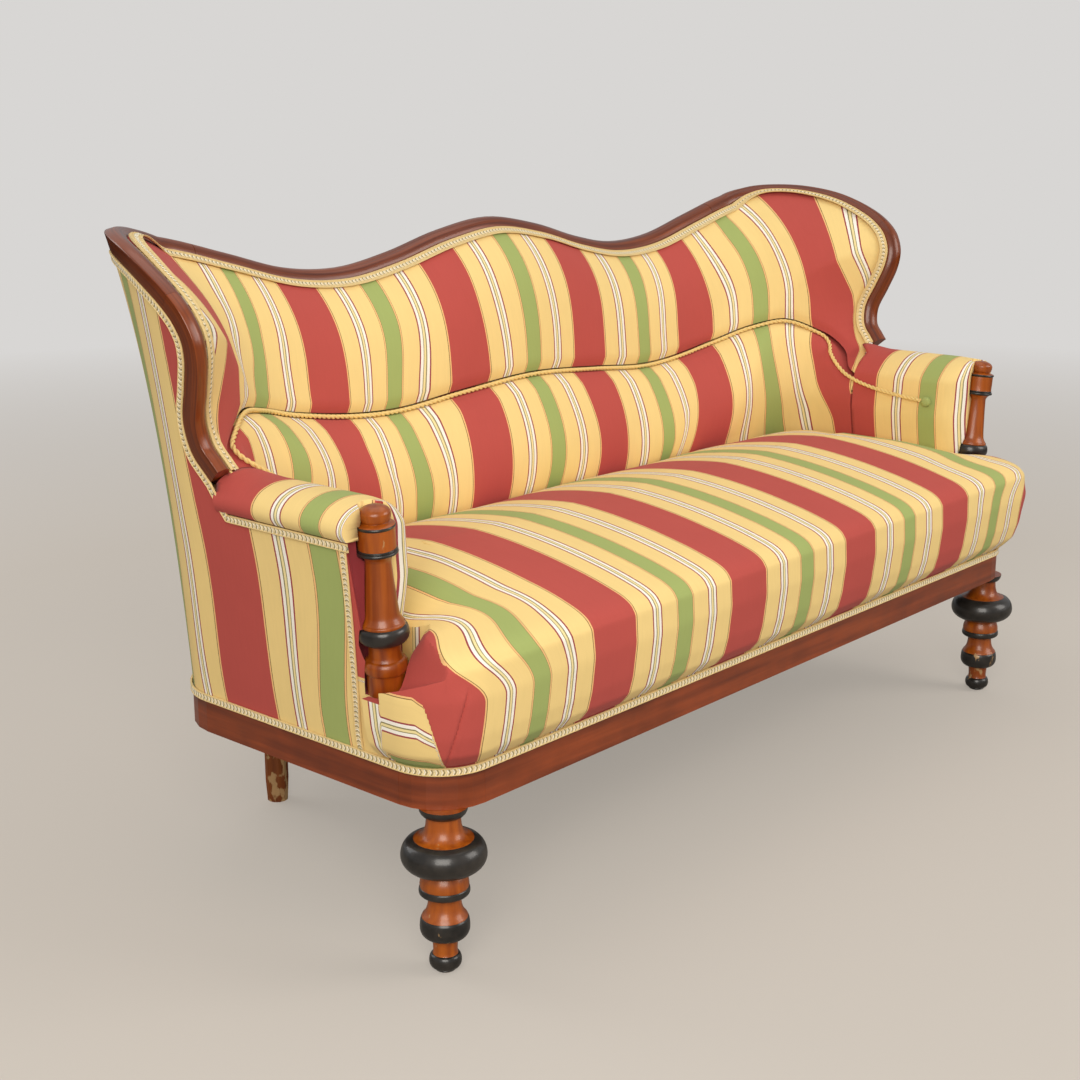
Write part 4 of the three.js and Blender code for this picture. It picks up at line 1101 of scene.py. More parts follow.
@dataclass(frozen=True)
class Studio:
    """A plain pale room: the floor, the lamps and the camera."""

    camera_spot: tuple[float, float, float] = (-2.36482, -1.56165, 1.20796)
    pitch: float = 14.547
    heading: float = 48.565
    focal_share: float = 1700 / 1080
    wall: str = "d8d6d4"
    floor_colour: str = "c8c0b6"
    # How far from the sofa's middle the floor starts to turn into the wall's colour and has it, in metres
    fade: tuple[float, float] = (2.0, 6.0)
    # Rows are a lamp's name, where it stands, its side in metres, its power in watts and its colour
    lamps: tuple[tuple[str, tuple[float, float, float], float, float, str], ...] = (
        ("left_lamp", (-3.4, -2.6, 2.2), 2.6, 140, "fffaf2"), ("right_lamp", (2.4, -3.8, 2.6), 2.6, 92, "fffaf4"),
        ("top_lamp", (0.2, 0.2, 3.6), 3.0, 20, "ffffff"), ("rear_lamp", (-1.5, 3.4, 2.4), 2.2, 30, "ffffff"))
    def floor_material(self) -> Material:
        """Smooth painted concrete, which turns into the pale wall's colour far behind the sofa.

        Part of its colour is its own light for camera rays, so that it looks even and still keeps the shadow.

        Returns:
            The material.
        """
        finish = Finish("painted_floor", roughness=0.55)
        material, tree, shader = finish.begin()
        spot = add_node(tree, "ShaderNodeTexCoord").outputs["Object"]
        away = add_node(tree, "ShaderNodeVectorMath", {0: spot}, operation="LENGTH").outputs["Value"]
        share = mapped(tree, away, *self.fade)
        colour = blended(tree, share, linear(self.floor_colour), linear(self.wall))
        lit = mapped(tree, share, 0, 1, 0.55, 0.0)
        own = mapped(tree, share, 0, 1, 0.5, 1.0)
        dim = scaled(tree, colour, lit)
        tree.links.new(dim, shader.inputs["Base Color"])
        seen = add_node(tree, "ShaderNodeLightPath").outputs["Is Camera Ray"]
        glow = maths(tree, "MULTIPLY", seen, own)
        tree.links.new(colour, shader.inputs["Emission Color"])
        tree.links.new(glow, shader.inputs["Emission Strength"])
        shader.inputs["Specular IOR Level"].default_value = 0.0
        return material

    def floor(self) -> None:
        """The floor, a wide round sheet just under the feet."""
        angles = np.linspace(0, math.tau, 97)
        radii = np.array([0.0001, 1, 2, 4, 8, 16, 40]) * 1000
        points = np.stack([radii[:, None] * np.cos(angles), radii[:, None] * np.sin(angles),
                           np.full((7, 97), -0.2)], axis=2)
        maker = MeshMaker()
        maker.sheet(points)
        piece = maker.build("studio_floor", [self.floor_material()])

    def light(self, name: str, spot: tuple[float, float, float], size: float, power: float, code: str) -> None:
        """A soft square lamp that looks at the sofa.

        Args:
            name: Its name.
            spot: Where it stands.
            size: Its side in metres.
            power: Its power in watts.
            code: Its colour.
        """
        data = bpy.data.lights.new(name, "AREA")
        data.shape, data.size, data.energy, data.color = "SQUARE", size, power, linear(code)[:3]
        lamp = bpy.data.objects.new(name, data)
        lamp.location = spot
        lamp.rotation_euler = (Vector((0, 0, 0.45)) - Vector(spot)).to_track_quat("-Z", "Y").to_euler()
        bpy.context.collection.objects.link(lamp)

    def world(self) -> None:
        """Pale room light, with the wall's colour for what the camera sees."""
        world = bpy.data.worlds.new("studio")
        bpy.context.scene.world = world
        world.use_nodes = True
        tree = world.node_tree
        tree.nodes.clear()
        rays = add_node(tree, "ShaderNodeLightPath").outputs
        seen = maths(tree, "MAXIMUM", rays["Is Camera Ray"], rays["Is Transmission Ray"])
        room = add_node(tree, "ShaderNodeBackground", {"Color": linear("f4f5f7"), "Strength": 0.44}).outputs[0]
        wall = add_node(tree, "ShaderNodeBackground", {"Color": linear(self.wall), "Strength": 1.0}).outputs[0]
        both = add_node(tree, "ShaderNodeMixShader", {0: seen, 1: room, 2: wall}).outputs[0]
        add_node(tree, "ShaderNodeOutputWorld", {"Surface": both})

    def camera(self) -> None:
        """The camera at the photograph's place."""
        data = bpy.data.cameras.new("photo_view")
        data.sensor_width, data.lens = 36, 36 * self.focal_share
        camera = bpy.data.objects.new("photo_view", data)
        x, y, z = self.camera_spot
        camera.location = (x, y + FRONT_SHIFT / 1000, z)
        camera.rotation_euler = (math.radians(90 - self.pitch), 0, math.radians(-self.heading))
        bpy.context.collection.objects.link(camera)
        bpy.context.scene.camera = camera

    def build(self) -> None:
        """Sets up the room."""
        self.floor()
        for lamp in self.lamps:
            self.light(*lamp)
        self.world()
        self.camera()
        bpy.context.scene.view_settings.view_transform = "Standard"


@dataclass(frozen=True)
class Finishes:
    """All the sofa's materials."""

    stripes: Material
    red: Material
    green: Material
    black_cloth: Material
    jute: Material
    crest: Material
    turned: Material
    ebonised: Material
    rail: Material
    plain: Material
    hidden: Material
    steel: Material
    gimp_base: Material
    gimp_cream: Material
    gimp_dark: Material
    gimp_white: Material
    cord: Material

    @classmethod
    def make(cls) -> "Finishes":
        """Builds every material once.

        Returns:
            The materials.
        """
        along = (300.0, 5.0, 300.0)
        level = (3.0, 3.0, 60.0)
        return cls(
            stripes=Cloth("striped_cotton_rep", stripe=True).build(),
            red=Cloth("plain_red_rep", code="92383b").build(),
            green=Cloth("plain_green_rep", code="a7b26c").build(),
            black_cloth=Cloth("black_cotton_lining", code="262523", thread=0.0022).build(),
            # Jute hessian: coarse dull brown threads, woven loosely
            jute=Cloth("jute_hessian", code="a98d62", thread=0.004, sheen=0).build(),
            # French-polished mahogany: red brown, with long streaks under a clear coat
            crest=Wood("polished_mahogany_crest", light="8c400e", dark="4a1804", grain=along, polish=0.35,
                       coordinates=Coordinates.CLOTH).build(),
            turned=Wood("polished_turned_birch", light="b05a12", dark="783106", grain=(90, 90, 5), polish=0.3,
                        foot=0.2).build(),
            # Ebonised rings: black stain under polish, brown and grey where it is rubbed
            ebonised=Wood("ebonised_ring", light="302b26", dark="12110f", grain=(60, 60, 60), polish=0.4,
                          roughness=0.34, foot=0.22).build(),
            rail=Wood("mahogany_veneer_rail", light="96431a", dark="4a1a08", grain=level, polish=0.3,
                      roughness=0.42, wear=0.28).build(),
            plain=Wood("worn_plain_birch", light="9a5420", dark="66300f", grain=(70, 70, 5), polish=0.0,
                       roughness=0.62, wear=0.25, foot=0.42, specular=0.3).build(),
            hidden=Wood("sawn_pine_frame", light="b98d5a", dark="94693c", grain=(40, 40, 8), polish=0.0,
                        roughness=0.75, specular=0.25).build(),
            steel=SpringSteel("spring_wire").build(),
            gimp_base=Yarn("gimp_gold_edge", code="e6c98c").build(),
            gimp_cream=Yarn("gimp_cream_yarn", code="efe0b6").build(),
            gimp_dark=Yarn("gimp_grey_yarn", code="8d856d").build(),
            gimp_white=Yarn("gimp_white_yarn", code="f7f1e2").build(),
            cord=Yarn("twisted_gold_cord", code="efcf86", ply=0.0022).build(),
        )


# Turned pieces

@dataclass(frozen=True)
class Profile:
    """A turned profile in stretches, each with its own finish: 0 polished, 1 ebonised."""

    stretches: tuple[tuple[int, tuple[tuple[float, float], ...]], ...]
    sides: int = 72

    @staticmethod
    def bulge(bottom: float, top: float, lower: float, widest: float, upper: float, count: int = 18) -> tuple:
        """Half an ellipse between two heights, out to the widest radius and in again.

        Args:
            bottom: The lower height.
            top: The upper height.
            lower: The radius at the bottom.
            widest: The widest radius.
            upper: The radius at the top.
            count: How many steps.

        Returns:
            The profile's (radius, height) rows.
        """
        share = np.linspace(-1, 1, count + 1)
        reach = np.sqrt(np.clip(1 - share ** 2, 0, 1))
        radius = mix(np.where(share < 0, lower, upper), widest, reach)
        return tuple(zip(radius.tolist(), mix(bottom, top, (share + 1) / 2).tolist()))

    def maker(self, place: Callable[[Array], Array]) -> MeshMaker:
        """The turned mesh.

        Args:
            place: Turns points about the Z axis into the points where the piece stands.

        Returns:
            The mesh in sheets, one for each stretch.
        """
        angle = np.linspace(0, math.tau, self.sides + 1)
        angle[-1] = 0
        maker = MeshMaker()
        previous: tuple = ()
        for finish, points in self.stretches:
            rows = np.array([*previous, *points], float)
            rings = np.stack([rows[:, :1] * np.cos(angle), rows[:, :1] * np.sin(angle),
                              rows[:, 1:] + 0 * angle], axis=2)
            maker.sheet(place(rings), finish=finish)
            previous = (points[-1],)
        return maker


@dataclass(frozen=True)
class Turnings:
    """The front legs and the arm posts, turned in birch with ebonised rings."""

    finishes: Finishes
    post_x: float = 839.6
    post_y: float = 70.8
    lean_out: float = 0.0962
    lean_front: float = 0.0351
    post_top: float = 686.5

    def leg(self) -> Profile:
        """The front leg, from the foot up.

        Returns:
            The profile.
        """
        b = Profile.bulge
        return Profile((
            (1, ((0, 0), (11, 0), (14.5, 1.5), (16.5, 4), *b(5, 27, 16, 23.6, 18.5))),
            (0, ((18, 28), (17.6, 34), (18.2, 44), (19.5, 51))),
            (1, b(52, 84, 22, 36.1, 33.2)),
            (0, ((33.4, 84.5), (32.6, 86.5), (29.5, 90), (26.6, 95), (24.6, 102), (23.6, 110), (23.4, 116))),
            (1, b(117, 131, 25, 36.8, 35)),
            (0, ((35.2, 131.5), (35.4, 135), (34.6, 141), (32.6, 147), (30, 152), (29, 154))),
            (1, b(155, 204, 31, 61.6, 43)),
            (0, ((43, 204.6), (41, 205.2), (36, 206.5), (31, 210), (27.6, 216), (25.6, 224), (24.8, 232), (24.8, 238))),
            (1, ((25.6, 238.6), (29.8, 240.2), (32.4, 243), (34.3, 247), (35, 250.5), (35, 252.6))),
            (0, ((14, 252.7), (14, 299), (0, 299))),
        ))

    def post_axis(self, height: Array) -> Array:
        """The middle of the arm post at some heights.

        Args:
            height: The heights.

        Returns:
            The points.
        """
        up = np.asarray(height, float) - 500
        return np.stack([self.post_x + up * self.lean_out, self.post_y - up * self.lean_front,
                         np.asarray(height, float)], axis=-1)

    def post(self) -> Profile:
        """The arm post, from its tenon up.

        Returns:
            The profile.
        """
        b = Profile.bulge
        d = lambda drop: self.post_top - drop
        return Profile((
            (0, ((0, 268), (12, 268), (12, 412), (26.6, 412), (27.4, 413), (27.6, 416), (27.6, d(245)), (28, d(243)),
                 *b(d(242), d(222), 28.4, 31.5, 25), (23.4, d(219)), (22.6, d(214)), (22.4, d(203)), (23.6, d(199.5)))),
            (1, b(d(198), d(172.6), 25.5, 36.2, 31)),
            (0, ((31.3, d(172)), (31.4, d(170.4)), (30.6, d(168.6)), (29.2, d(167.8)), (28.8, d(166.4)),
                 (26.2, d(162.6)), (24.4, d(157.5)), (23.4, d(150)), (22.4, d(140)), (20.9, d(122)), (19.4, d(104)),
                 (18, d(80)), (18.3, d(77.6)), (20, d(74)), (22.4, d(71)), (24.6, d(69.4)))),
            (1, (*b(d(69.2), d(63.6), 25, 29, 26.6), *b(d(63.2), d(60.6), 26.4, 27.5, 26.3))),
            (0, ((26.2, d(60)), (26.4, d(47)), (26.2, d(31.6)))),
            (1, ((26.5, d(31.2)), (27.5, d(30)), (27.8, d(28.6)), (27.4, d(27.4)), (26.8, d(26.9)))),
            (0, ((26.4, d(26.6)), (24, d(25.4)), (20.6, d(24.6)), (18.8, d(23.6)),
                 *b(d(23), d(0), 18.4, 22, 0, 26)[:-1], (0, d(0)))),
        ))

    def stand_post(self, points: Array) -> Array:
        """Turns points about Z into their place on the leaning post.

        Args:
            points: The points.

        Returns:
            The points on the post.
        """
        foot = self.post_axis(np.array(268.0))
        lean = unit(self.post_axis(np.array(self.post_top)) - foot)
        side = unit(np.cross(lean, [0, 1, 0]))
        front = np.cross(lean, side)
        flat = points - [0, 0, 268]
        return foot + flat[..., :1] * side + flat[..., 1:2] * front + flat[..., 2:] * lean

    def post_room(self, bottom: float = POST_FOOT - 0.3) -> Piece:
        """The room that the padding leaves round the right-hand post.

        Args:
            bottom: The height of its floor.

        Returns:
            The room, for cutting.
        """
        d = lambda drop: self.post_top - drop
        rows = ((0, 267.7), (12.3, 267.7), (12.3, bottom), (31.8, bottom), (31.8, d(220)), (36.5, d(197.5)),
                (36.5, d(172.4)), (32, d(172.2)), (31.4, d(167.4)), (25.3, d(158)), (18.3, d(79.5)), (29.3, d(68.7)),
                (29.3, d(25.5)), (25.3, d(25.5)), (22.3, d(20)), (22.3, 693.3), (0, 693.3))
        return Profile(((0, rows),), sides=36).maker(self.stand_post).build("post_room", [])

    def build(self) -> None:
        """Makes the legs and the posts."""
        materials = [self.finishes.turned, self.finishes.ebonised]
        stand_leg = lambda points: points + [LEG_X, 0, 0]
        for name, profile, stand in (("front_leg", self.leg(), stand_leg), ("arm_post", self.post(), self.stand_post)):
            settle_pair(profile.maker(stand).build(name + "_turning_right", materials, 28), "show_wood", name)


# The show wood round the back

@dataclass(frozen=True)
class CrestWood:
    """The crest rail, its corners and the wings: bent mahogany, crowned towards the padding."""

    finishes: Finishes
    width: float = 28
    depth: float = 29
    shares: tuple[tuple[float, float], ...] = (
        (1, 0), (.5, 0), (.08, 0), (.03, .015), (.008, .045), (0, .09), (0, .27), (0, .42), (.02, .5), (.06, .6),
        (.12, .7), (.21, .8), (.32, .88), (.44, .95), (.57, 1), (.75, 1.0), (1, 1))

    def length(self, name: str, start: float, end: float) -> Piece:
        """One length of the wood between two places of the crest line.

        Args:
            name: Its name.
            start: The place where it starts.
            end: The place where it ends.

        Returns:
            The length of wood.
        """
        section = np.array(self.shares) * [self.width, self.depth]
        inner = PLACES[(PLACES > start + 0.001) & (PLACES < end - 0.001)]
        rings = strip_rings(CREST.at, np.array([start + 0.0002, *inner, end - 0.0002]), section)
        maker = MeshMaker()
        maker.tube(rings)
        return maker.build(name, [self.finishes.crest], 35)

    def build(self) -> None:
        """Makes the five lengths."""
        joint, wing = CREST.joints()
        settle(self.length("crest_rail_wood", -joint, joint), "show_wood", "crest_rail")
        for name, start, end in (("crest_corner", joint, wing), ("wing", wing, 1)):
            settle_pair(self.length(name + "_wood_right", start, end), "show_wood", name)


# Upholstery

@dataclass(frozen=True)
class BackPads:
    """The two back pads, parted by the crease that the cord lies in."""

    finishes: Finishes
    crease_half: float = 5.5
    rows: int = 26
    cloth_depth: float = 105
    # Rows are the run of cloth and what lies there: the cloth was pulled a little when it was nailed
    at_top: tuple[tuple[float, float], ...] = (
        (-1000, -975), (-980, -960), (-900, -905), (-811, -855), (-690, -752), (-645, -684), (-585, -614), (-501, -513),
        (-340, -345), (-212, -218), (-84, -72), (0, 3), (62, 70), (125, 122), (230, 219), (292, 274), (354, 326),
        (396, 364), (437, 410), (479, 462), (564, 561), (607, 614), (692, 675), (759, 754), (791, 800), (886, 903),
        (1000, 1010))
    at_crease: tuple[tuple[float, float], ...] = (
        (-1000, -975), (-950, -930), (-854, -850), (-787, -754), (-702, -684), (-601, -612), (-502, -513), (-314, -296),
        (-213, -217), (0, 0), (212, 217), (330, 326), (458, 464), (577, 561), (645, 612), (720, 680), (801, 754),
        (847, 803), (950, 903), (1000, 952))
    at_foot: tuple[tuple[float, float], ...] = (
        (-1000, -955), (-950, -905), (-790, -750), (-745, -690), (-680, -628), (-540, -513), (-340, -332), (-228, -219),
        (0, 0), (126, 122), (209, 219), (345, 342), (455, 464), (611, 561), (686, 614), (753, 666), (793, 702),
        (838, 754), (914, 812), (1000, 930))

    def laid(self, run: Array, upper: bool) -> Array:
        """How far across the pattern each point of a pad is.

        Args:
            run: The run of cloth, in rows from the pad's foot to its top.
            upper: Whether the pad is the upper one.

        Returns:
            The place in the pattern, in mm.
        """
        share = np.linspace(0, 1, len(run))[:, None]
        if not upper:
            return mix(soft_table(self.at_foot, run), soft_table(self.at_crease, run), smooth_rise(share, 0.3, 1))
        blend = np.where(run < 0, smooth_rise(share, 0.0, 0.7), smooth_rise(share, 0.2, 1))
        return mix(soft_table(self.at_crease, run), soft_table(self.at_top, run), blend)

    def pad(self, name: str, low: tuple[Array, Array], high: tuple[Array, Array],
            face: Callable[[Array, Array], Array]) -> Piece:
        """One pad between two lines on the shell.

        Args:
            name: The pad's name.
            low: Its lower line.
            high: Its upper line.
            face: Gives the depth of its face.

        Returns:
            The pad.
        """
        turn, height = rungs(low, high, self.rows)
        depth = face(turn, height)
        front = SHELL.point(turn, height, depth)
        back = SHELL.point(turn, height, PADDING.fill(turn, height, depth))
        across = self.laid(SHELL.run(turn, height, self.cloth_depth), name.startswith("upper"))
        maker = MeshMaker()
        maker.slab(front, back, np.stack([across, run_along(front)], axis=2))
        return maker.build(name, [self.finishes.stripes], 50)

    def build(self) -> None:
        """Makes both pads."""
        inner = np.clip(PLACES, -1 + CREST.nudge, 1 - CREST.nudge)
        top = CREST.inset(inner, PADDING.start + PADDING.gap, PADDING.edge)
        upper = self.pad("upper_back_cushioning", PADDING.crease_place(PLACES, self.crease_half), top,
                         PADDING.upper_face)
        lower = self.pad("lower_back_cushioning", PADDING.foot(PLACES),
                         PADDING.crease_place(PLACES, -self.crease_half), PADDING.lower_face)
        for piece, node, fill in ((upper, "upper_back_pad", 0.8), (lower, "lower_back_pad", 0.85)):
            settle(piece, "striped_cover", node)


@dataclass(frozen=True)
class Seat:
    """The domed seat, which overhangs the rail in front and runs round its corners."""

    finishes: Finishes
    turnings: Turnings
    rise: float = 235
    ridge_y: float = 255
    ridge_x: float = 550
    side: float = 777
    corner: float = 85
    # Runs along the outline: where the cloth starts to be pulled aside and is pulled fully, the pleat at its top,
    # and the foot of the turned cloth's edge
    lean_from: float = 520
    lean_full: float = 800
    pleat_run: float = 787
    fold_run: float = 816
    # Places in the pattern: the middles of the outermost green and red bands, half a repeat, and a red band's edge
    green_middle: float = 684
    red_middle: float = 855
    half_repeat: float = 171
    red_edge: float = 122.5
    # The height of the turned cloth's upper border, and the Y at which the upright strip starts
    side_border: float = 434
    strip_front: float = 40
    rows: tuple[tuple[float, float, float], ...] = (
        (0, .007, .012), (.038, .007, .012), (.062, -.03, .012), (.14, -.083, .012), (.268, -.11, .012),
        (.5, -.131, .012), (.681, -.121, .012), (.74, -.09, .04), (.783, -.028, .053), (.826, .086, .08),
        (.864, .2, .17), (.93, .45, .4), (.979, .72, .7), (1, .93, .93))

    def edge(self) -> tuple[Array, Array, Array]:
        """The seat's outline on the right, from the middle of the front to the middle of the back.

        Returns:
            The points, the cloth's run at each, and whether each is at the rear.
        """
        corner_x = 840 - self.corner
        start = self.corner - RAIL_FRONT
        front = [(x, -RAIL_FRONT) for x in np.linspace(0, corner_x, 130)]
        front += [(corner_x + self.corner * math.cos(a), start + self.corner * math.sin(a))
                  for a in np.linspace(-math.pi / 2, 0, 66)[1:]]
        front += [(840, y) for y in np.linspace(start, ARM_REAR, 60)[1:]]
        turn, _ = PADDING.foot(np.linspace(1, 0, 70))
        foot = SHELL.point(turn, PAD_FLOOR, PADDING.lower_face(turn, np.full(70, PAD_FLOOR)))
        back = np.column_stack([np.minimum(foot[:, 0], self.side - 1.5), foot[:, 1] - 1.5])
        points = np.concatenate([np.array(front), back])
        return points, run_along(points), np.arange(len(points)) >= len(front)

    def stripes(self, points: Array, run: Array, share: Array, rear: Array) -> Array:
        """How far across the pattern each point of the cover is.

        The front cloth runs round the corner to a pleat; below the arm the cloth turns, and a strip stands upright
        behind it.

        Args:
            points: The points.
            run: The run along the outline at each point.
            share: How far each point lies on the way from the outline to the ridge.
            rear: Whether each point is at the rear.

        Returns:
            The place in the pattern, in mm.
        """
        x, y, z = (np.abs(points[..., 0]), points[..., 1], points[..., 2])
        lean = mix(mix(36.0, 45.0, smooth_rise(z, 330, 420)), -20.0, smooth_rise(z, 420, 500))
        pulled = run + lean * smooth_rise(run, self.lean_from, self.lean_full)
        top = x - 20 * smooth_rise(x, self.lean_from, self.lean_full) * (1 - smooth_rise(y, 20, 260))
        wrapped = mix(np.where(rear, x, pulled), top, smooth_rise(share, 0.0, 0.35))
        wrapped = np.where(rear, wrapped, np.minimum(wrapped, self.red_middle))
        folded = self.red_edge + (self.fold_run + (z - 316) * 0.24 - run) * 40
        border = self.side_border - 0.7 * np.clip(-15 - y, 0, 30)
        level = self.red_edge - (border - z) * 1.03
        side = np.minimum(np.maximum(level, folded), self.half_repeat)
        on_strip = (y > self.strip_front + (self.side_border - z) * 0.11) & (z < border + 14)
        side = self.green_middle + np.where(on_strip, 58.5 + 0.96 * (67 - y), side)
        below_arm = (z < 470) & (share < 0.2) & ~rear & (run > self.fold_run - 1) & (x > 750)
        return np.where(below_arm, side, wrapped)

    def dip(self, points: Array) -> Array:
        """The cover's height where it is pulled down round the foot of each arm post.

        Args:
            points: The cover's points.

        Returns:
            The height of each point.
        """
        x, y, z = np.abs(points[..., 0]), points[..., 1], points[..., 2]
        post_x, post_y = self.turnings.post_axis(np.array(POST_FOOT))[:2]
        away = np.maximum(np.hypot(x - post_x, y - post_y) - 33, 0)
        inner = smooth_rise(post_x + 14 - x, 0, 35)
        limit = 418 + 48 * inner + (0.45 + 0.9 * inner) * away
        return np.where(z > 418, np.minimum(z, limit), z)

    def pleat(self, points: Array, run: Array, rear: Array) -> Array:
        """How far the cover's face moves out beside the pleat at each front corner.

        Args:
            points: The points.
            run: The run along the outline at each point.
            rear: Whether each point is at the rear.

        Returns:
            The moves, in mm.
        """
        height = points[..., 2]
        beside = run - (self.pleat_run + (443 - height) * 0.257)
        groove = -2.4 * np.exp(-(beside / 1.7) ** 2)
        fold = 1.5 * smooth_rise(beside, 0, 3) * (1 - smooth_rise(beside, 3, 24))
        return np.where(rear, 0, (groove + fold) * (1 - smooth_rise(height, 430, 452)) * smooth_rise(height, 312, 326))

    def build(self) -> None:
        """Makes the seat."""
        half, run, rear = self.edge()
        edge = np.concatenate([half, half[-2:0:-1] * [-1, 1]])
        run = np.concatenate([run, run[-2:0:-1]])
        rear = np.concatenate([rear, rear[-2:0:-1]])
        table = np.array(self.rows)
        fine = np.concatenate([np.linspace(0, 3, 12), np.linspace(3.05, 6.5, 52), np.linspace(6.6, 12.999, 34)])
        up, front, back = (np.interp(fine, range(14), table[:, i]) for i in range(3))
        smooth = lambda values: np.convolve(np.pad(values, 3, mode="edge"), [1, 3, 5, 6, 5, 3, 1], "valid") / 24
        body = smooth_rise(fine, 1.5, 4)
        up, front, back = (mix(v, smooth(v), body) for v in (up, front, back))
        share = np.where(rear[None], back[:, None], front[:, None])
        x = mix(edge[None, :, 0], np.clip(edge[None, :, 0], -self.ridge_x, self.ridge_x), share)
        y = mix(edge[None, :, 1], self.ridge_y, share)
        beside = self.side - np.abs(x)
        sag = 26 * (1 - smooth_rise(beside, -1.5, 90)) * smooth_rise(y, 0, 129) * smooth_rise(up, 0.6, 0.8)[:, None]
        z = RAIL_TOP + 0.3 + up[:, None] * self.rise - sag
        points = np.stack([x, y, z], axis=2)
        across = self.stripes(points, run[None], share, rear[None])
        step = np.gradient(edge, axis=0)
        outward = unit(np.column_stack([step[:, 1], -step[:, 0], 0 * step[:, 0]]))
        points = points + self.pleat(points, run[None], rear[None])[..., None] * outward
        points[..., 2] = self.dip(points)
        maker = MeshMaker()
        maker.sheet(joined(points), joined(np.stack([across, run_along(points)], axis=2)))
        top = points[-1]
        crown = top * [1, 0, 1] + [0, self.ridge_y, 0]
        shares = np.linspace(0, 1, 4)[:, None, None]
        cap = mix(top[None], crown[None], shares)
        cap[..., 2] += 1.2 * shares[..., 0]
        flat = np.stack([np.abs(cap[..., 0]), cap[..., 1]], axis=2)
        maker.sheet(joined(cap), joined(flat))
        maker.cap(points[0])
        piece = maker.build("seat_cushioning", [self.finishes.stripes], 50)
        rooms = []
        for side in (-1, 1):
            low, high = sorted((side * self.side, side * 1700))
            rooms.append(block((low, 43, POST_FOOT - 0.3), (high, 475, 800)))
            rooms.append(block((low, 78.7, 0), (high, 475, 800)))
        rooms.append(block((-740, 30, 0), (740, 430, 424)))
        room = self.turnings.post_room()
        rooms += [room, flipped(room, "post_room_left")]
        cut_out(piece, rooms)
        settle(piece, "striped_cover", "seat")


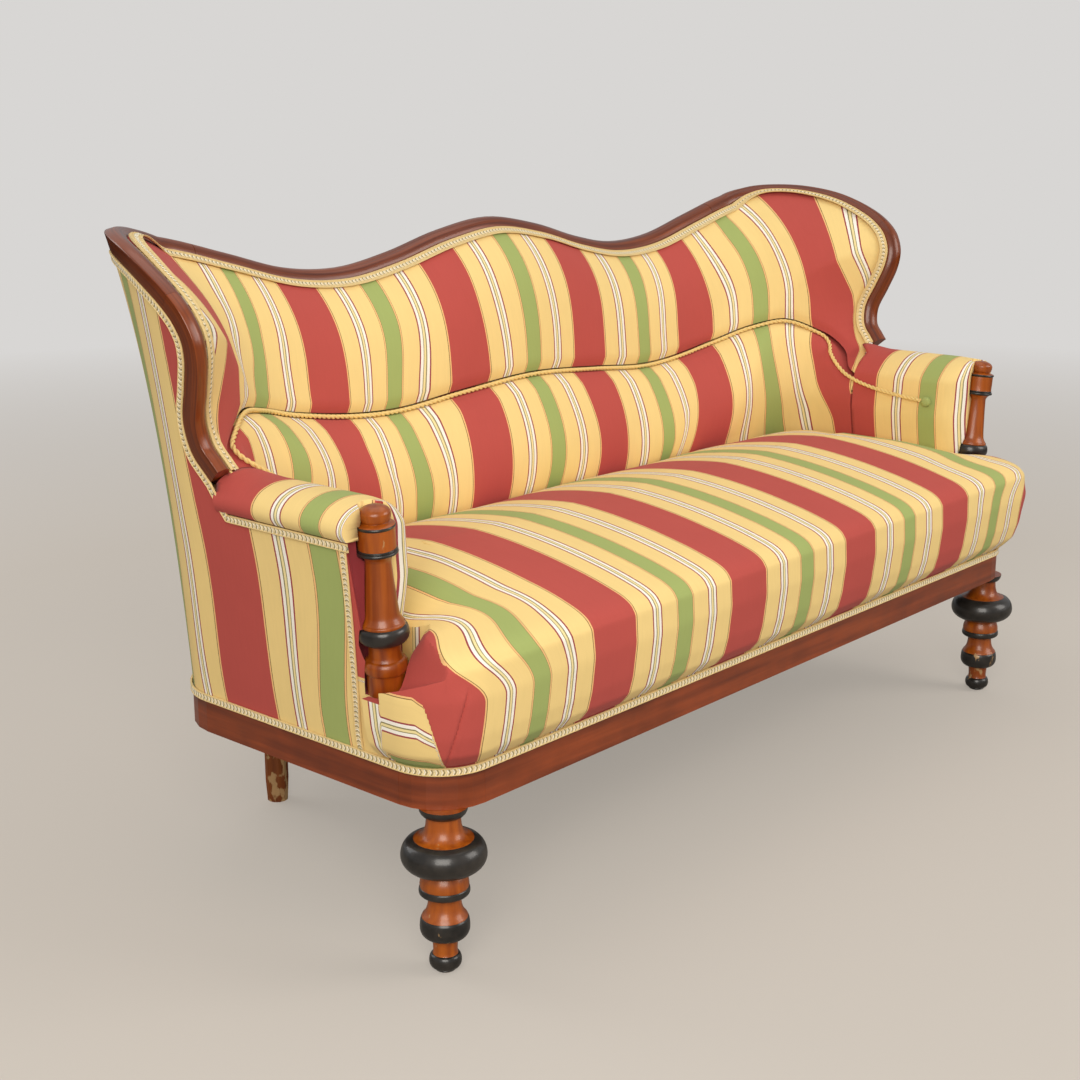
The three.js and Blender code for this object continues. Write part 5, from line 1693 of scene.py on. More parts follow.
@dataclass(frozen=True)
class Arms:
    """The arm pads with their rolls, the red facings behind the posts and the covered buttons."""

    finishes: Finishes
    turnings: Turnings
    round_reach: float = 48
    front_round: float = 51
    cover_x: float = 762
    roll_x: float = 913
    button_radius: float = 10
    button_y: float = 135
    button_height: float = 603
    rear_reach: float = 30
    joint_height: float = 632
    joint_row: float = 31
    behind: tuple[str, ...] = ("wing_wood_right", "wing_upright_right")
    roll: tuple[tuple[float, float], ...] = (
        (.0, .0), (.04, .19), (.1, .35), (.2, .62), (.35, .86), (.58, 1), (.8, .92), (.94, .68), (1, .36), (.97, .12),
        (.93, 0))

    def twin_of(self, name: str) -> Piece:
        """A copy of a piece that the roll is nailed against, for cutting.

        Args:
            name: The piece's name.

        Returns:
            The copy.
        """
        source = bpy.data.objects.get(name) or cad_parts[name]
        twin = bpy.data.objects.new("room", source.data.copy())
        twin.matrix_world = source.matrix_world.copy()
        bpy.context.collection.objects.link(twin)
        return twin

    def rounding(self, y: Array | float) -> tuple[Array, Array]:
        """The share of the way through the rounded front at some Y, and how far the face draws back there."""
        near = np.clip((y - ARM_FRONT) / self.round_reach, 0, 1)
        return near, self.front_round * (1 - np.sqrt(1 - (1 - near) ** 2))

    def section(self, y: float) -> tuple[Array, Array]:
        """The outline of the arm pad at one Y, as [x, height], and the cloth's run along it.

        Args:
            y: The Y.

        Returns:
            The outline and the run.
        """
        near, back = self.rounding(y)
        heights = np.linspace(POST_FOOT, self.joint_height, 30)
        face_x = SHELL.point(2.0 + 0 * heights, heights, PADDING.arm_depth(heights))[:, 0]
        inner = np.column_stack([face_x + back, heights])
        shares = np.array(self.roll)
        place = np.linspace(0, len(shares) - 1, 48)
        soft = [np.interp(place, range(len(shares)), shares[:, i]) for i in range(2)]
        across, up = (mix(v, box_mean(v, 3), 0.9) for v in soft)
        rise = ARM_TOP - ARM_TRIM - (1 - near) * 3
        roll_points = np.column_stack([self.cover_x + across * (self.roll_x - self.cover_x)
                                       + back * np.maximum(1 - across * 2.2, 0), ARM_TRIM + up * rise])
        x_at = lambda height, depth: float(SHELL.point(np.array(2.0), np.array(height), depth)[0])
        rail_x = x_at(601.7, 0) - 34.3
        inside = np.array([[rail_x, ARM_TRIM], [rail_x, 601.4], [x_at(601.7, 41) - 0.6, 601.4],
                           [x_at(POST_FOOT, 41) - 0.6, POST_FOOT]])
        face = np.concatenate([inner, roll_points])
        near_joint = 1 - smooth_rise(np.abs(np.arange(len(face)) - self.joint_row), 5, 11)
        for _ in range(3):
            face = mix(face, box_mean(face, 3), near_joint[:, None])
        points = np.concatenate([face, inside])
        return points, run_along(points)

    def build(self) -> None:
        """Makes the pads, the facings and the buttons."""
        shares = 1 - np.cos(np.linspace(0, math.pi / 2, 14))
        ys = np.concatenate([ARM_FRONT + self.round_reach * shares,
                             np.linspace(ARM_FRONT + self.round_reach, ARM_REAR, 30)[1:]])
        sections = [self.section(float(y)) for y in ys]
        points = np.stack([np.column_stack([p[:, 0], np.full(len(p), y), p[:, 1]]) for y, (p, _) in zip(ys, sections)])
        roll = (smooth_rise(points[..., 0], 812, 848) * (points[..., 2] > ARM_TRIM - 2)
                * smooth_rise(points[..., 1], 285, ARM_REAR))
        points = points + np.stack([0 * roll, self.rear_reach * roll, 7 * roll * (points[..., 2] > 670)], axis=-1)
        across = ys - self.button_y - self.rounding(ys)[1] * 0.35
        runs = np.stack([run for _, run in sections])
        cloth = np.stack([across[:, None] + 0 * runs, runs], axis=2)
        maker = MeshMaker()
        maker.sheet(joined(points), joined(cloth))
        maker.cap(points[0], across=float(across[0]))
        maker.cap(points[-1], across=float(across[-1]))
        right = maker.build("arm_cushioning_right", [self.finishes.stripes], 45)
        cut_out(right, [self.turnings.post_room(400), *(self.twin_of(name) for name in self.behind)])
        settle_pair(right, "striped_cover", "arm_pad")
        self.facings()
        self.buttons()

    def facings(self) -> None:
        """The padded red strips behind the posts."""
        heights = np.linspace(RAIL_TOP + 0.3, ARM_TRIM - 0.6, 34)
        outer, inner = 4.8, 40.7
        rings = []
        for height in heights:
            front, rear = (float(SHELL.turn_at_y(y, height)) for y in (79.0, 110.0))
            corners = [(front, inner), (front + 0.002, inner - 2), (front, inner * 0.5), (front + 0.002, outer + 2),
                       (front + 0.006, outer), (rear, outer), (rear, inner)]
            rings.append(SHELL.point(np.array([c[0] for c in corners]), np.full(7, height),
                                     np.array([c[1] for c in corners])))
        maker = MeshMaker()
        maker.tube(np.array(rings))
        right = maker.build("arm_facing_cloth_right", [self.finishes.red], 40)
        cut_out(right, [self.turnings.post_room()])
        settle_pair(right, "red_cover", "arm_facing")

    def buttons(self) -> None:
        """The covered buttons at the ends of the cord, drawn into the arm's cover."""
        height = np.array(self.button_height)
        turn = SHELL.turn_at_y(self.button_y, height)
        centre = SHELL.point(turn, height, PADDING.arm_depth(height)) - [2.5, 0, 0]
        dome = ((0, 0), (1, 0), (1.0, .18), (.985, .35), (.92, .58), (.82, .75), (.7, .86), (.55, .93), (.3, .985),
                (0, 1))
        rows = tuple((r * self.button_radius, h * 8) for r, h in dome)
        place = lambda p: centre + np.stack([-p[..., 2], p[..., 1], p[..., 0]], axis=-1)
        right = Profile(((0, rows),), sides=40).maker(place).build("cloth_button_right", [self.finishes.green], 60)
        settle_pair(right, "green_cover", "arm_button")


@dataclass(frozen=True)
class OutsideCovers:
    """The striped covers on the outside of the back and the sides, stretched over the frame."""

    finishes: Finishes
    turnings: Turnings
    reach: float = 34
    depth: float = 2
    thickness: float = 2.5
    seam_x: float = 560
    side_front: float = 79
    # Rows are the way back from the side cover's front edge and what lies there, at its foot and under the arm
    at_foot: tuple[tuple[float, float], ...] = (
        (0, -69), (67, -17.6), (118, 17.6), (168, 70), (223, 122.5), (343, 219.5), (390, 272), (440, 324),
        (458, 342), (1058, 942))
    at_arm: tuple[tuple[float, float], ...] = (
        (0, -33), (20, -17.6), (73, 17.6), (139, 70), (201, 122.5), (316, 219.5), (366, 272), (412, 324), (430, 342),
        (1030, 942))
    gimp_line: tuple[tuple[float, float], ...] = ((320, 121), (412, 109), (520, 94), (625, 82))

    def side_cloth(self, turn: Array, height: Array) -> Array:
        """How far across the pattern each point of a side cover is.

        Args:
            turn: The turns.
            height: The heights.

        Returns:
            The place in the pattern, in mm.
        """
        front = SHELL.run(SHELL.turn_at_y(self.side_front, height), height, 0)
        back = front - SHELL.run(turn, height, 0)
        share = smooth_rise(height, 323, 590)
        across = mix(table_at(self.at_foot, back), table_at(self.at_arm, back), share)
        ahead = self.side_front + back < table_at(self.gimp_line, height) + 2
        return np.where(ahead, np.where(height > 440, 171, 40), across)

    def edge_line(self, place: Array, inset: float) -> tuple[Array, Array]:
        """The covers' upper edge; past place 1 it runs forward under the arm.

        Args:
            place: The places.
            inset: How far inside the crest line it runs.

        Returns:
            The turns and the heights.
        """
        place = np.abs(np.asarray(place, float))
        turn, height = CREST.inset(np.clip(place, 0, 1 - CREST.nudge), inset)
        last_turn, last_height = (float(v) for v in CREST.inset(np.array(1 - CREST.nudge), inset))
        under = ARM_TRIM - inset + 28
        stages = ((1, last_turn, last_height), (1.07, float(SHELL.turn_at_y(338, 655.0)), 655),
                  (1.14, float(SHELL.turn_at_y(ARM_REAR + 12, under)), under),
                  (2, float(SHELL.turn_at_y(ARM_FRONT, under)), under))
        after = [table_at([(s[0], s[i]) for s in stages], place) for i in (1, 2)]
        return np.where(place > 1, after[0], turn), np.where(place > 1, after[1], height)

    def bottom_turns(self, seam: float) -> list[tuple[float, float]]:
        """Where the covers' rungs stand on the rail.

        Args:
            seam: The place of the seam.

        Returns:
            Rows of (place, turn).
        """
        at_y = lambda y: float(SHELL.turn_at_y(y, RAIL_TOP))
        at_x = lambda x: float(SHELL.turn_at_x(x, RAIL_TOP))
        return [(0, 0), (seam / 2, at_x(self.seam_x / 2)), (seam, at_x(self.seam_x)), (.3, 1.54), (.4, 1.67),
                (.5, 1.74), (.6, 1.78), (.7, 1.83), (.8, 1.865), (.85, 1.93), (.9, 2.02), (.95, 2.12), (1, 2.235),
                (1.07, at_y(338)), (1.14, at_y(ARM_REAR + 12)), (2, at_y(self.side_front))]

    def panel(self, name: str, places: Array, top: tuple[Array, Array], seam: float,
              on_side: bool) -> tuple[Piece, float]:
        """One cover.

        Args:
            name: Its name.
            places: Places along the upper edge.
            top: Turns and heights of that edge.
            seam: The place of the seam between the back and the side.
            on_side: Whether it covers a side.

        Returns:
            The cover, and the area of its outer face in square metres.
        """
        low = (signed_table(self.bottom_turns(seam), places), np.full(len(places), RAIL_TOP + 0.3))
        turn, height = rungs(low, top, 22)
        front = SHELL.point(turn, height, self.depth)
        back = SHELL.point(turn, height, self.depth + self.thickness)
        across = self.side_cloth(turn, height) if on_side else SHELL.run(turn, height, 0)
        maker = MeshMaker()
        maker.slab(front, back, np.stack([across, run_along(front)], axis=2))
        a, b = front[1:, :-1] - front[:-1, :-1], front[:-1, 1:] - front[:-1, :-1]
        area = float(np.linalg.norm(np.cross(a, b), axis=2).sum()) / 1e6
        return maker.build(name, [self.finishes.stripes], 50), area

    def build(self) -> None:
        """Makes the back cover and the side covers."""
        seam = CREST.first(lambda turn, x, z: x > self.seam_x)
        places = np.linspace(-seam + 0.001, seam - 0.001, 121)
        back, area = self.panel("outside_back_cover", places, CREST.inset(places, self.reach), seam, False)
        settle(back, "striped_cover", "outside_back")
        LOG.info("outside back: %.3f square metres", area)
        places = np.concatenate([np.linspace(seam + 0.001, 0.996, 110), [1.02, 1.045, 1.07, 1.09, 1.115, 1.14],
                                 np.linspace(1.14, 2, 24)[1:]])
        turn, height = self.edge_line(places, self.reach)
        ends = SHELL.turn_at_y(self.side_front, height)
        turn = np.where(places > 1.14, mix(turn, ends, (places - 1.14) / 0.86), turn)
        right, area = self.panel("outside_side_cover_right", places, (turn, height), seam, True)
        LOG.info("outside side: %.3f square metres", area)
        cut_out(right, [self.turnings.post_room()])
        for piece in settle_pair(right, "striped_cover", "outside_side"):
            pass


# Trimmings

# The ways that a path's points carry
WAYS = ("way_out", "way_across")


class Gimp(Enum):
    """The three yarns that the chevrons of the braid take in turn."""

    CREAM = 0
    GREY = 1
    WHITE = 2


def socket_of(tree: Tree, name: str) -> str:
    """The identifier of a tree's named input."""
    return next(item.identifier for item in tree.interface.items_tree if item.name == name and item.in_out == "INPUT")


def new_tree(name: str, sizes: dict[str, float], materials: Sequence[str]) -> tuple[Tree, bpy.types.Node]:
    """A geometry tree with its named inputs.

    Args:
        name: The tree's name.
        sizes: The default of each size.
        materials: The names of its material inputs.

    Returns:
        The tree and its input node.
    """
    tree = bpy.data.node_groups.new(name, "GeometryNodeTree")
    face = tree.interface
    face.new_socket("Geometry", in_out="INPUT", socket_type="NodeSocketGeometry")
    for key, value in sizes.items():
        face.new_socket(key, in_out="INPUT", socket_type="NodeSocketFloat").default_value = value
    for key in materials:
        face.new_socket(key, in_out="INPUT", socket_type="NodeSocketMaterial")
    face.new_socket("Geometry", in_out="OUTPUT", socket_type="NodeSocketGeometry")
    return tree, add_node(tree, "NodeGroupInput")


def read_path(tree: Tree, path: Socket,
              spacing: Socket | float) -> tuple[Socket, list[Socket]]:
    """The path with points at a spacing, and the ways that its points carry.

    Args:
        tree: The tree.
        path: The path's edges.
        spacing: The distance between the points in metres.

    Returns:
        The points, and the sockets of the two ways.
    """
    curve = add_node(tree, "GeometryNodeMeshToCurve", {"Mesh": path}).outputs[0]
    even = add_node(tree, "GeometryNodeResampleCurve", {"Curve": curve, "Length": spacing}, mode="LENGTH").outputs[0]
    return even, [add_node(tree, "GeometryNodeInputNamedAttribute", {"Name": name}, data_type="FLOAT_VECTOR").outputs[0]
                  for name in WAYS]


def chevron_tree() -> Tree:
    """Chevrons of yarn along a path; the path's points carry the ways across the braid and out of it.

    Returns:
        The tree.
    """
    tree, given = new_tree("gimp_chevrons", {"Width": 0.009, "Pitch": 0.0027, "Height": 0.0009, "Slant": 0.5},
                           [yarn.name for yarn in Gimp])
    sizes = given.outputs
    points, ways = read_path(tree, sizes["Geometry"], sizes["Pitch"])
    turn = add_node(tree, "FunctionNodeAlignRotationToVector", {"Vector": ways[0]}, axis="Z").outputs[0]
    turn = add_node(tree, "FunctionNodeAlignRotationToVector", {"Rotation": turn, "Vector": ways[1]}, axis="X",
                    pivot_axis="Z").outputs[0]
    yarn_size = add_node(tree, "ShaderNodeCombineXYZ", {
        "X": sizes["Width"], "Y": sizes["Pitch"], "Z": sizes["Height"]}).outputs[0]
    bar = add_node(tree, "GeometryNodeMeshCube", {
        "Size": yarn_size, "Vertices X": 5, "Vertices Y": 3, "Vertices Z": 2}).outputs[0]
    spot = add_node(tree, "GeometryNodeInputPosition").outputs[0]
    axes = add_node(tree, "ShaderNodeSeparateXYZ", {0: spot}).outputs
    away = maths(tree, "ABSOLUTE", axes[0])
    slant = maths(tree, "MULTIPLY", away, sizes["Slant"])
    level = maths(tree, "DIVIDE", axes[1], sizes["Pitch"])
    square = maths(tree, "MULTIPLY", level, level)
    drop = maths(tree, "MULTIPLY", square, sizes["Height"])
    fall = maths(tree, "MULTIPLY", drop, -3.2)
    move = add_node(tree, "ShaderNodeCombineXYZ", {"X": 0.0, "Y": slant, "Z": fall}).outputs[0]
    bar = add_node(tree, "GeometryNodeSetPosition", {"Geometry": bar, "Offset": move}).outputs[0]
    index = add_node(tree, "GeometryNodeInputIndex").outputs[0]
    turns = maths(tree, "MODULO", index, float(len(Gimp)))
    branches = []
    for yarn in Gimp:
        mine = maths(tree, "COMPARE", turns, float(yarn.value), 0.1)
        rows = add_node(tree, "GeometryNodeInstanceOnPoints", {
            "Points": points, "Selection": mine, "Instance": bar, "Rotation": turn}).outputs[0]
        real = add_node(tree, "GeometryNodeRealizeInstances", {"Geometry": rows}).outputs[0]
        branches.append(add_node(tree, "GeometryNodeSetMaterial", {
            "Geometry": real, "Material": sizes[yarn.name]}).outputs[0])
    both = add_node(tree, "GeometryNodeJoinGeometry")
    for branch in branches:
        tree.links.new(branch, both.inputs[0])
    add_node(tree, "NodeGroupOutput", {"Geometry": both.outputs[0]})
    return tree


def twist_tree() -> Tree:
    """A two-ply cord along a path; the path's points carry the ways across the cord and out of it.

    Returns:
        The tree.
    """
    tree, given = new_tree("twisted_cord", {"Strand": 0.0024, "Offset": 0.0018, "Lay": 0.021}, ["Yarn"])
    sizes = given.outputs
    fine, ways = read_path(tree, sizes["Geometry"], 0.0015)
    length = add_node(tree, "GeometryNodeSplineParameter").outputs["Length"]
    rounds = maths(tree, "DIVIDE", length, sizes["Lay"])
    ring = add_node(tree, "GeometryNodeCurvePrimitiveCircle", {"Resolution": 10, "Radius": sizes["Strand"]}).outputs[0]
    both = add_node(tree, "GeometryNodeJoinGeometry")
    for start in (0.0, math.pi):
        angle = maths(tree, "MULTIPLY_ADD", rounds, math.tau, start)
        parts = []
        for way, shape in zip(ways, ("COSINE", "SINE")):
            reach = maths(tree, shape, angle)
            reach = maths(tree, "MULTIPLY", reach, sizes["Offset"])
            parts.append(scaled(tree, way, reach))
        move = add_node(tree, "ShaderNodeVectorMath", {0: parts[0], 1: parts[1]}, operation="ADD").outputs[0]
        strand = add_node(tree, "GeometryNodeSetPosition", {"Geometry": fine, "Offset": move}).outputs[0]
        strand = add_node(tree, "GeometryNodeCurveToMesh", {
            "Curve": strand, "Profile Curve": ring, "Fill Caps": True}).outputs[0]
        tree.links.new(strand, both.inputs[0])
    real = add_node(tree, "GeometryNodeRealizeInstances", {"Geometry": both.outputs[0]}).outputs[0]
    dressed = add_node(tree, "GeometryNodeSetMaterial", {"Geometry": real, "Material": sizes["Yarn"]}).outputs[0]
    add_node(tree, "NodeGroupOutput", {"Geometry": dressed})
    return tree


def path_piece(name: str, line: Array, outward: Array, across: Array) -> Piece:
    """A path as a mesh of edges whose points carry two ways, for a geometry tree.

    Args:
        name: The piece's name.
        line: The path's points in mm.
        outward: The way out of the surface at each.
        across: The way across the path at each.

    Returns:
        The object.
    """
    mesh = bpy.data.meshes.new(name)
    points = (line + [0, FRONT_SHIFT, 0]) / 1000
    mesh.from_pydata(points.tolist(), [(i, i + 1) for i in range(len(points) - 1)], [])
    for key, ways in zip(WAYS, (outward, across)):
        mesh.attributes.new(key, "FLOAT_VECTOR", "POINT").data.foreach_set("vector", unit(ways).ravel())
    piece = bpy.data.objects.new(name, mesh)
    bpy.context.collection.objects.link(piece)
    return piece


def grown(piece: Piece, tree: Tree, values: dict[str, object]) -> Piece:
    """Runs a geometry tree on a piece and keeps the result as its plain mesh.

    Args:
        piece: The piece.
        tree: The tree.
        values: The tree's values, by the name of the input.

    Returns:
        The same piece.
    """
    modifier = piece.modifiers.new(tree.name, "NODES")
    modifier.node_group = tree
    for key, value in values.items():
        modifier[socket_of(tree, key)] = value
    evaluated(piece)
    for key in WAYS:
        if key in piece.data.attributes:
            piece.data.attributes.remove(piece.data.attributes[key])
    soften(piece.data, 60)
    return piece


@dataclass(frozen=True)
class Trimmings:
    """The gimp along the seat rail, the crest and the outside edges, and the cord in the crease."""

    finishes: Finishes
    turnings: Turnings
    covers: OutsideCovers
    width: float = 12
    thickness: float = 3
    inner_width: float = 10
    chevron_width: float = 8.2
    inner_chevron_width: float = 6.6
    chevron_rise: float = 1.2

    def band(self, name: str, rings: Array, closed: bool = False) -> Piece:
        """The gimp's ground, a thin band with raised gold edges.

        Args:
            name: Its name.
            rings: The rings of points.
            closed: Whether it runs round to its start.

        Returns:
            The band.
        """
        maker = MeshMaker()
        if closed:
            rings = np.concatenate([rings, rings[:1]])
        maker.tube(rings, closed_ends=not closed)
        return maker.build(name, [self.finishes.gimp_base], 50)

    def chevrons(self, name: str, line: Array, outward: Array, across: Array, width: float) -> Piece:
        """The gimp's chevrons along a line on its ground.

        Args:
            name: Its name.
            line: The line, in mm.
            outward: The way out of the surface at each point.
            across: The way across the gimp at each point.
            width: Their width, in mm.

        Returns:
            The chevrons.
        """
        path = path_piece(name, line, outward, across)
        yarns = {Gimp.CREAM.name: self.finishes.gimp_cream, Gimp.GREY.name: self.finishes.gimp_dark,
                 Gimp.WHITE.name: self.finishes.gimp_white}
        return grown(path, self.tree, {"Width": width / 1000, **yarns})

    @property
    def tree(self) -> Tree:
        """The chevrons' tree, made once."""
        return bpy.data.node_groups.get("gimp_chevrons") or chevron_tree()

    def section(self, width: float, outer: float) -> Array:
        """The ground's section as (across, depth): raised beads along both edges, and a hollow for the chevrons.

        Args:
            width: The gimp's width.
            outer: The depth of its outer face.

        Returns:
            The section.
        """
        half, inner = width / 2, outer + self.thickness
        rows = [(-half, inner), (-half, outer + 1), (-half * 0.93, outer + 0.3), (-half * 0.84, outer),
                (-half * 0.74, outer + 0.35), (-half * 0.68, outer + 1.1), (half * 0.68, outer + 1.1),
                (half * 0.74, outer + 0.35), (half * 0.84, outer), (half * 0.93, outer + 0.3), (half, outer + 1),
                (half, inner)]
        return np.array(rows)

    def crest_gimp(self) -> None:
        """The gimp between the show wood and the padding."""
        half = self.inner_width / 2
        low, high = PADDING.edge + 0.3, float(PADDING.free_depth(np.array(self.inner_width))) + 4
        edge = PADDING.start - 1.5
        slope = (high - low) / self.inner_width
        flat = self.section(self.inner_width, 0)
        section = np.column_stack([edge + half + flat[:, 0] - (self.thickness - flat[:, 1]) * 0.45,
                                   (low + high) / 2 + flat[:, 0] * slope + (self.thickness - flat[:, 1])])
        places = np.linspace(-1 + 0.0005, 1 - 0.0005, 321)
        rings = strip_rings(CREST.at, places, section)
        settle(self.band("crest_gimp_band", rings), "braid", "crest_braid")
        origin, across, depth = path_frame(CREST.at, places)
        middle = np.array([edge + half - 0.8, (low + high) / 2 + 2.0])
        line = origin + across * middle[0] + depth * middle[1]
        outward = depth - across * slope * 0.9
        settle(self.chevrons("crest_gimp_chevrons", line, outward, unit(across + depth * slope),
                             self.inner_chevron_width), "braid")

    def front_turn(self, height: Array) -> Array:
        """Where the gimp at the front of a side cover runs: it leans back towards the rail.

        Args:
            height: The heights.

        Returns:
            The turns.
        """
        level = np.asarray(height, float)
        plan = SHELL.plan(level)
        return 2 + (plan[..., 3] - plan[..., 2] - soft_table(self.covers.gimp_line, level)) / SHELL.side_run

    def outside_gimp(self) -> None:
        """The gimp along the outside edges of the wings, under the arms and down the fronts."""
        edge = lambda place: self.covers.edge_line(place, 35)
        places = np.concatenate([[0.001], np.linspace(0.005, 0.99, 150), np.linspace(0.992, 1.15, 30),
                                 np.linspace(1.16, 1.998, 60)])
        foot, head = RAIL_TOP + 12.3, ARM_TRIM - 13.6
        upward = lambda place: (self.front_turn(mix(foot, head, place)), mix(foot, head, place))
        for name, path, spots in (("outer", edge, places), ("front", upward, np.linspace(0, 1, 60))):
            origin, across, depth = path_frame(path, spots)
            if name == "outer":
                across = unit(box_mean(across, 4))
            section = self.section(self.width, -2.3)
            rings = origin[:, None] + across[:, None] * section[None, :, :1] + depth[:, None] * section[None, :, 1:]
            band = self.band(f"{name}_gimp_band_right", rings)
            cut_out(band, [self.turnings.post_room()])
            settle_pair(band, "braid", f"{name}_braid")
            rows = self.chevrons(f"{name}_gimp_chevrons_right", origin - depth * self.chevron_rise, -depth, across,
                                 self.chevron_width)
            settle_pair(rows, "braid")

    def rail_line(self, offset: float) -> tuple[Array, Array]:
        """The rail's outline moved out, and the way out of it at each point.

        Args:
            offset: How far it is moved out.

        Returns:
            The outline's points, and the ways out.
        """
        plan = np.array(SHELL.rail_plan) + offset
        rear = SHELL.plan_point(np.linspace(1, 2, 60), np.repeat(plan[None], 60, axis=0))
        angles = np.linspace(0, -math.pi / 2, 30)
        radius = 85 + offset
        front = np.column_stack([755 + radius * np.cos(angles), 47 + radius * np.sin(angles)])
        side = np.column_stack([np.full(40, 840 + offset), np.linspace(rear[-1, 1], front[0, 1], 42)[1:-1]])
        middle = np.column_stack([np.linspace(front[-1, 0], -front[-1, 0], 160)[1:-1], np.full(158, front[-1, 1])])
        right = np.concatenate([rear, side, front])
        back = np.column_stack([np.linspace(-rear[0, 0], rear[0, 0], 42)[1:-1], np.full(40, rear[0, 1])])
        outline = np.concatenate([right, middle, right[::-1] * [-1, 1], back])
        step = np.roll(outline, -1, axis=0) - np.roll(outline, 1, axis=0)
        outward = unit(np.column_stack([-step[:, 1], step[:, 0]]))
        centre = outline - [0, 300]
        outward *= np.where(np.sum(outward * centre, axis=1, keepdims=True) < 0, -1, 1)
        return outline, outward

    def rail_gimp(self) -> None:
        """The gimp along the seam between the cloth and the seat rail."""
        outline, outward = self.rail_line(0.6)
        section = self.section(self.width, 0)
        middle_z = RAIL_TOP + self.width - 4 - self.width / 2
        rings = np.stack([np.column_stack([outline + outward * (self.thickness - d),
                                           np.full(len(outline), middle_z + a)]) for a, d in section], axis=1)
        settle(self.band("rail_gimp_band", rings, closed=True), "braid", "rail_braid")
        line = np.column_stack([outline + outward * 1.9, np.full(len(outline), middle_z)])
        line = np.concatenate([line, line[:1]])
        outward = np.column_stack([outward, np.zeros(len(outward))])
        outward = np.concatenate([outward, outward[:1]])
        across = np.tile([0.0, 0, 1], (len(outward), 1))
        settle(self.chevrons("rail_gimp_chevrons", line, outward, across, self.chevron_width), "braid")

    def cord(self) -> None:
        """The two-ply cord, held in the crease and sewn down to the arms."""
        end = float(SHELL.turn_at_y(146, 603.0))
        turns = np.linspace(-end, end, 361)
        line = PADDING.cord_centre(turns)
        along = unit(np.gradient(line, axis=0))
        outward = SHELL.normal(turns, PADDING.crease(turns))
        outward = unit(outward - along * np.sum(outward * along, axis=1, keepdims=True))
        path = path_piece("twisted_back_cord", line, outward, np.cross(along, outward))
        settle(grown(path, twist_tree(), {"Yarn": self.finishes.cord}), "twisted_cord", "back_cord")
        length = float(np.linalg.norm(np.diff(line, axis=0), axis=1).sum())
        LOG.info("cord: %.0f mm", length)

    def build(self) -> None:
        """Makes all the trimmings."""
        self.crest_gimp()
        self.outside_gimp()
        self.rail_gimp()
        self.cord()


class InnerCloth(Enum):
    """The cloths inside the frame: the frame's name, how far each gives in mm, if it lies level, and its flat size."""

    DUST_COVER = ("dust_cover", -3.0, True, (1.64, 0.716))
    SEAT_WEBBING = ("seat_webbing", 0.25, True, None)
    SPRING_CANVAS = ("spring_canvas", 0.5, True, (1.464, 0.384))
    BACK_CANVAS = ("back_canvas", 0.5, False, (2.1, 0.52))


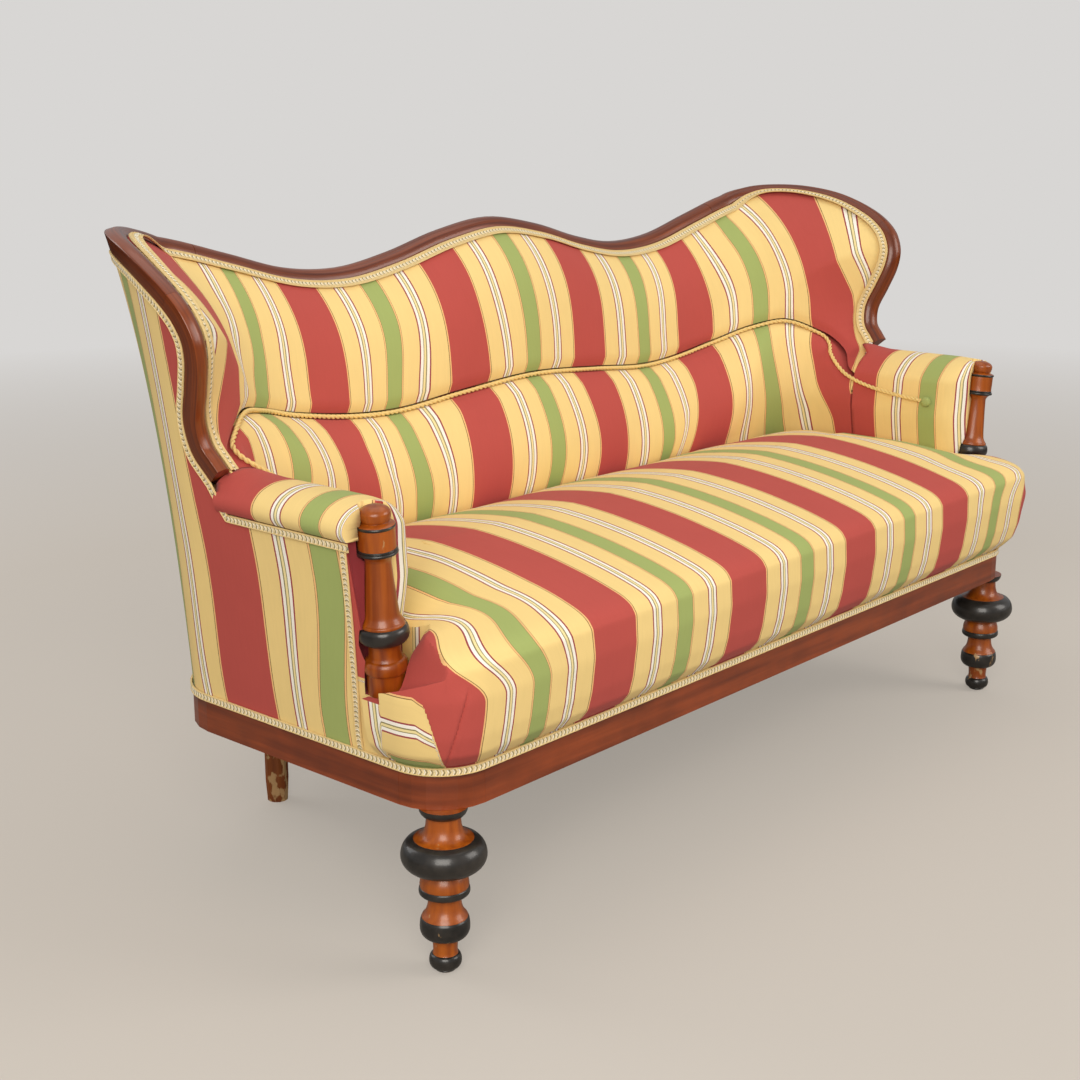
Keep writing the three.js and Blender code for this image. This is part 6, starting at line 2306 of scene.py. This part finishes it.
@dataclass(frozen=True)
class Underside:
    """The cloth that is hidden in the frame: the black cover, the webbing and the two canvases."""

    finishes: Finishes
    longest: float = 0.032
    pitch: float = 0.115

    def cloth(self, kind: InnerCloth, material: Material, slot: str) -> None:
        """One hidden cloth, tacked along its edges, with the give and ripples of real cloth between them.

        Args:
            kind: Which cloth.
            material: Its material.
            slot: The record's finish that it takes.
        """
        name, give, level, flat = kind.value
        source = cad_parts[name]
        mesh = source.data.copy()
        mesh.transform(source.matrix_world)
        mesh.materials.clear()
        mesh.materials.append(material)
        work = bmesh.new()
        work.from_mesh(mesh)
        for _ in range(8):
            long_edges = [edge for edge in work.edges if edge.calc_length() > self.longest]
            if not long_edges:
                break
            bmesh.ops.subdivide_edges(work, edges=long_edges, cuts=1)
            bmesh.ops.triangulate(work, faces=[face for face in work.faces if len(face.verts) > 3])
        low, high = (np.array(corner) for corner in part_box(name))
        middle, half = (low + high) / 2, (high - low) / 2
        layer = work.loops.layers.uv.get("cloth") or work.loops.layers.uv.new("cloth")
        for face in work.faces:
            face.material_index = 0
            for loop in face.loops:
                x, y, z = loop.vert.co
                loop[layer].uv = (x, y if level else z)
        for vertex in work.verts:
            x, y, z = vertex.co
            a, b = (x - middle[0]) / half[0], (y - middle[1]) / half[1] if level else (z - middle[2]) / half[2]
            room = max(0.0, (1 - a * a) * (1 - b * b))
            ripple = math.sin(x / self.pitch * math.pi) * math.sin((y if level else z) / self.pitch * math.pi)
            move = (give * room + (0.5 if give < 0 else give) * ripple * room ** 0.5) / 1000
            vertex.co = (x, y, z + move) if level else (x, y + move, z)
        work.to_mesh(mesh)
        work.free()
        piece = bpy.data.objects.new(name + "_cloth", mesh)
        bpy.context.collection.objects.link(piece)
        soften(mesh, 50)
        settle(piece, slot, name)

    def dress(self) -> None:
        """Gives the frame's own wood and steel their materials."""
        wanted = {"seat_spring": self.finishes.steel, "front_rail": self.finishes.rail, "rear_rail": self.finishes.rail,
                  "side_rail": self.finishes.rail, "front_corner_block": self.finishes.rail,
                  "rear_corner_rail": self.finishes.rail, "rear_leg": self.finishes.plain}
        for name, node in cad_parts.items():
            material = next((m for key, m in wanted.items() if name.startswith(key)), None)
            if name.startswith(("seat_stretcher", "arm_upright", "arm_rail", "wing_upright", "back_upright",
                                "lower_back_rail")):
                material = self.finishes.hidden
            if material:
                for slot in node.material_slots:
                    slot.material = material

    def build(self) -> None:
        """Makes the hidden cloths and dresses what stays of the frame."""
        for kind in InnerCloth:
            if kind is InnerCloth.DUST_COVER:
                self.cloth(kind, self.finishes.black_cloth, "black_cloth")
            else:
                self.cloth(kind, self.finishes.jute, "jute")
        self.dress()


def main() -> None:
    """Builds the sofa and its room."""
    logging.basicConfig(level=logging.INFO, format="%(name)s %(message)s")
    Studio().build()
    finishes = Finishes.make()
    turnings = Turnings(finishes)
    covers = OutsideCovers(finishes, turnings)
    pieces = (turnings, CrestWood(finishes), BackPads(finishes), Seat(finishes, turnings),
              Arms(finishes, turnings), covers, Trimmings(finishes, turnings, covers), Underside(finishes))
    for piece in pieces:
        piece.build()
        LOG.info("%s built", type(piece).__name__)


if __name__ == "__main__":
    main()
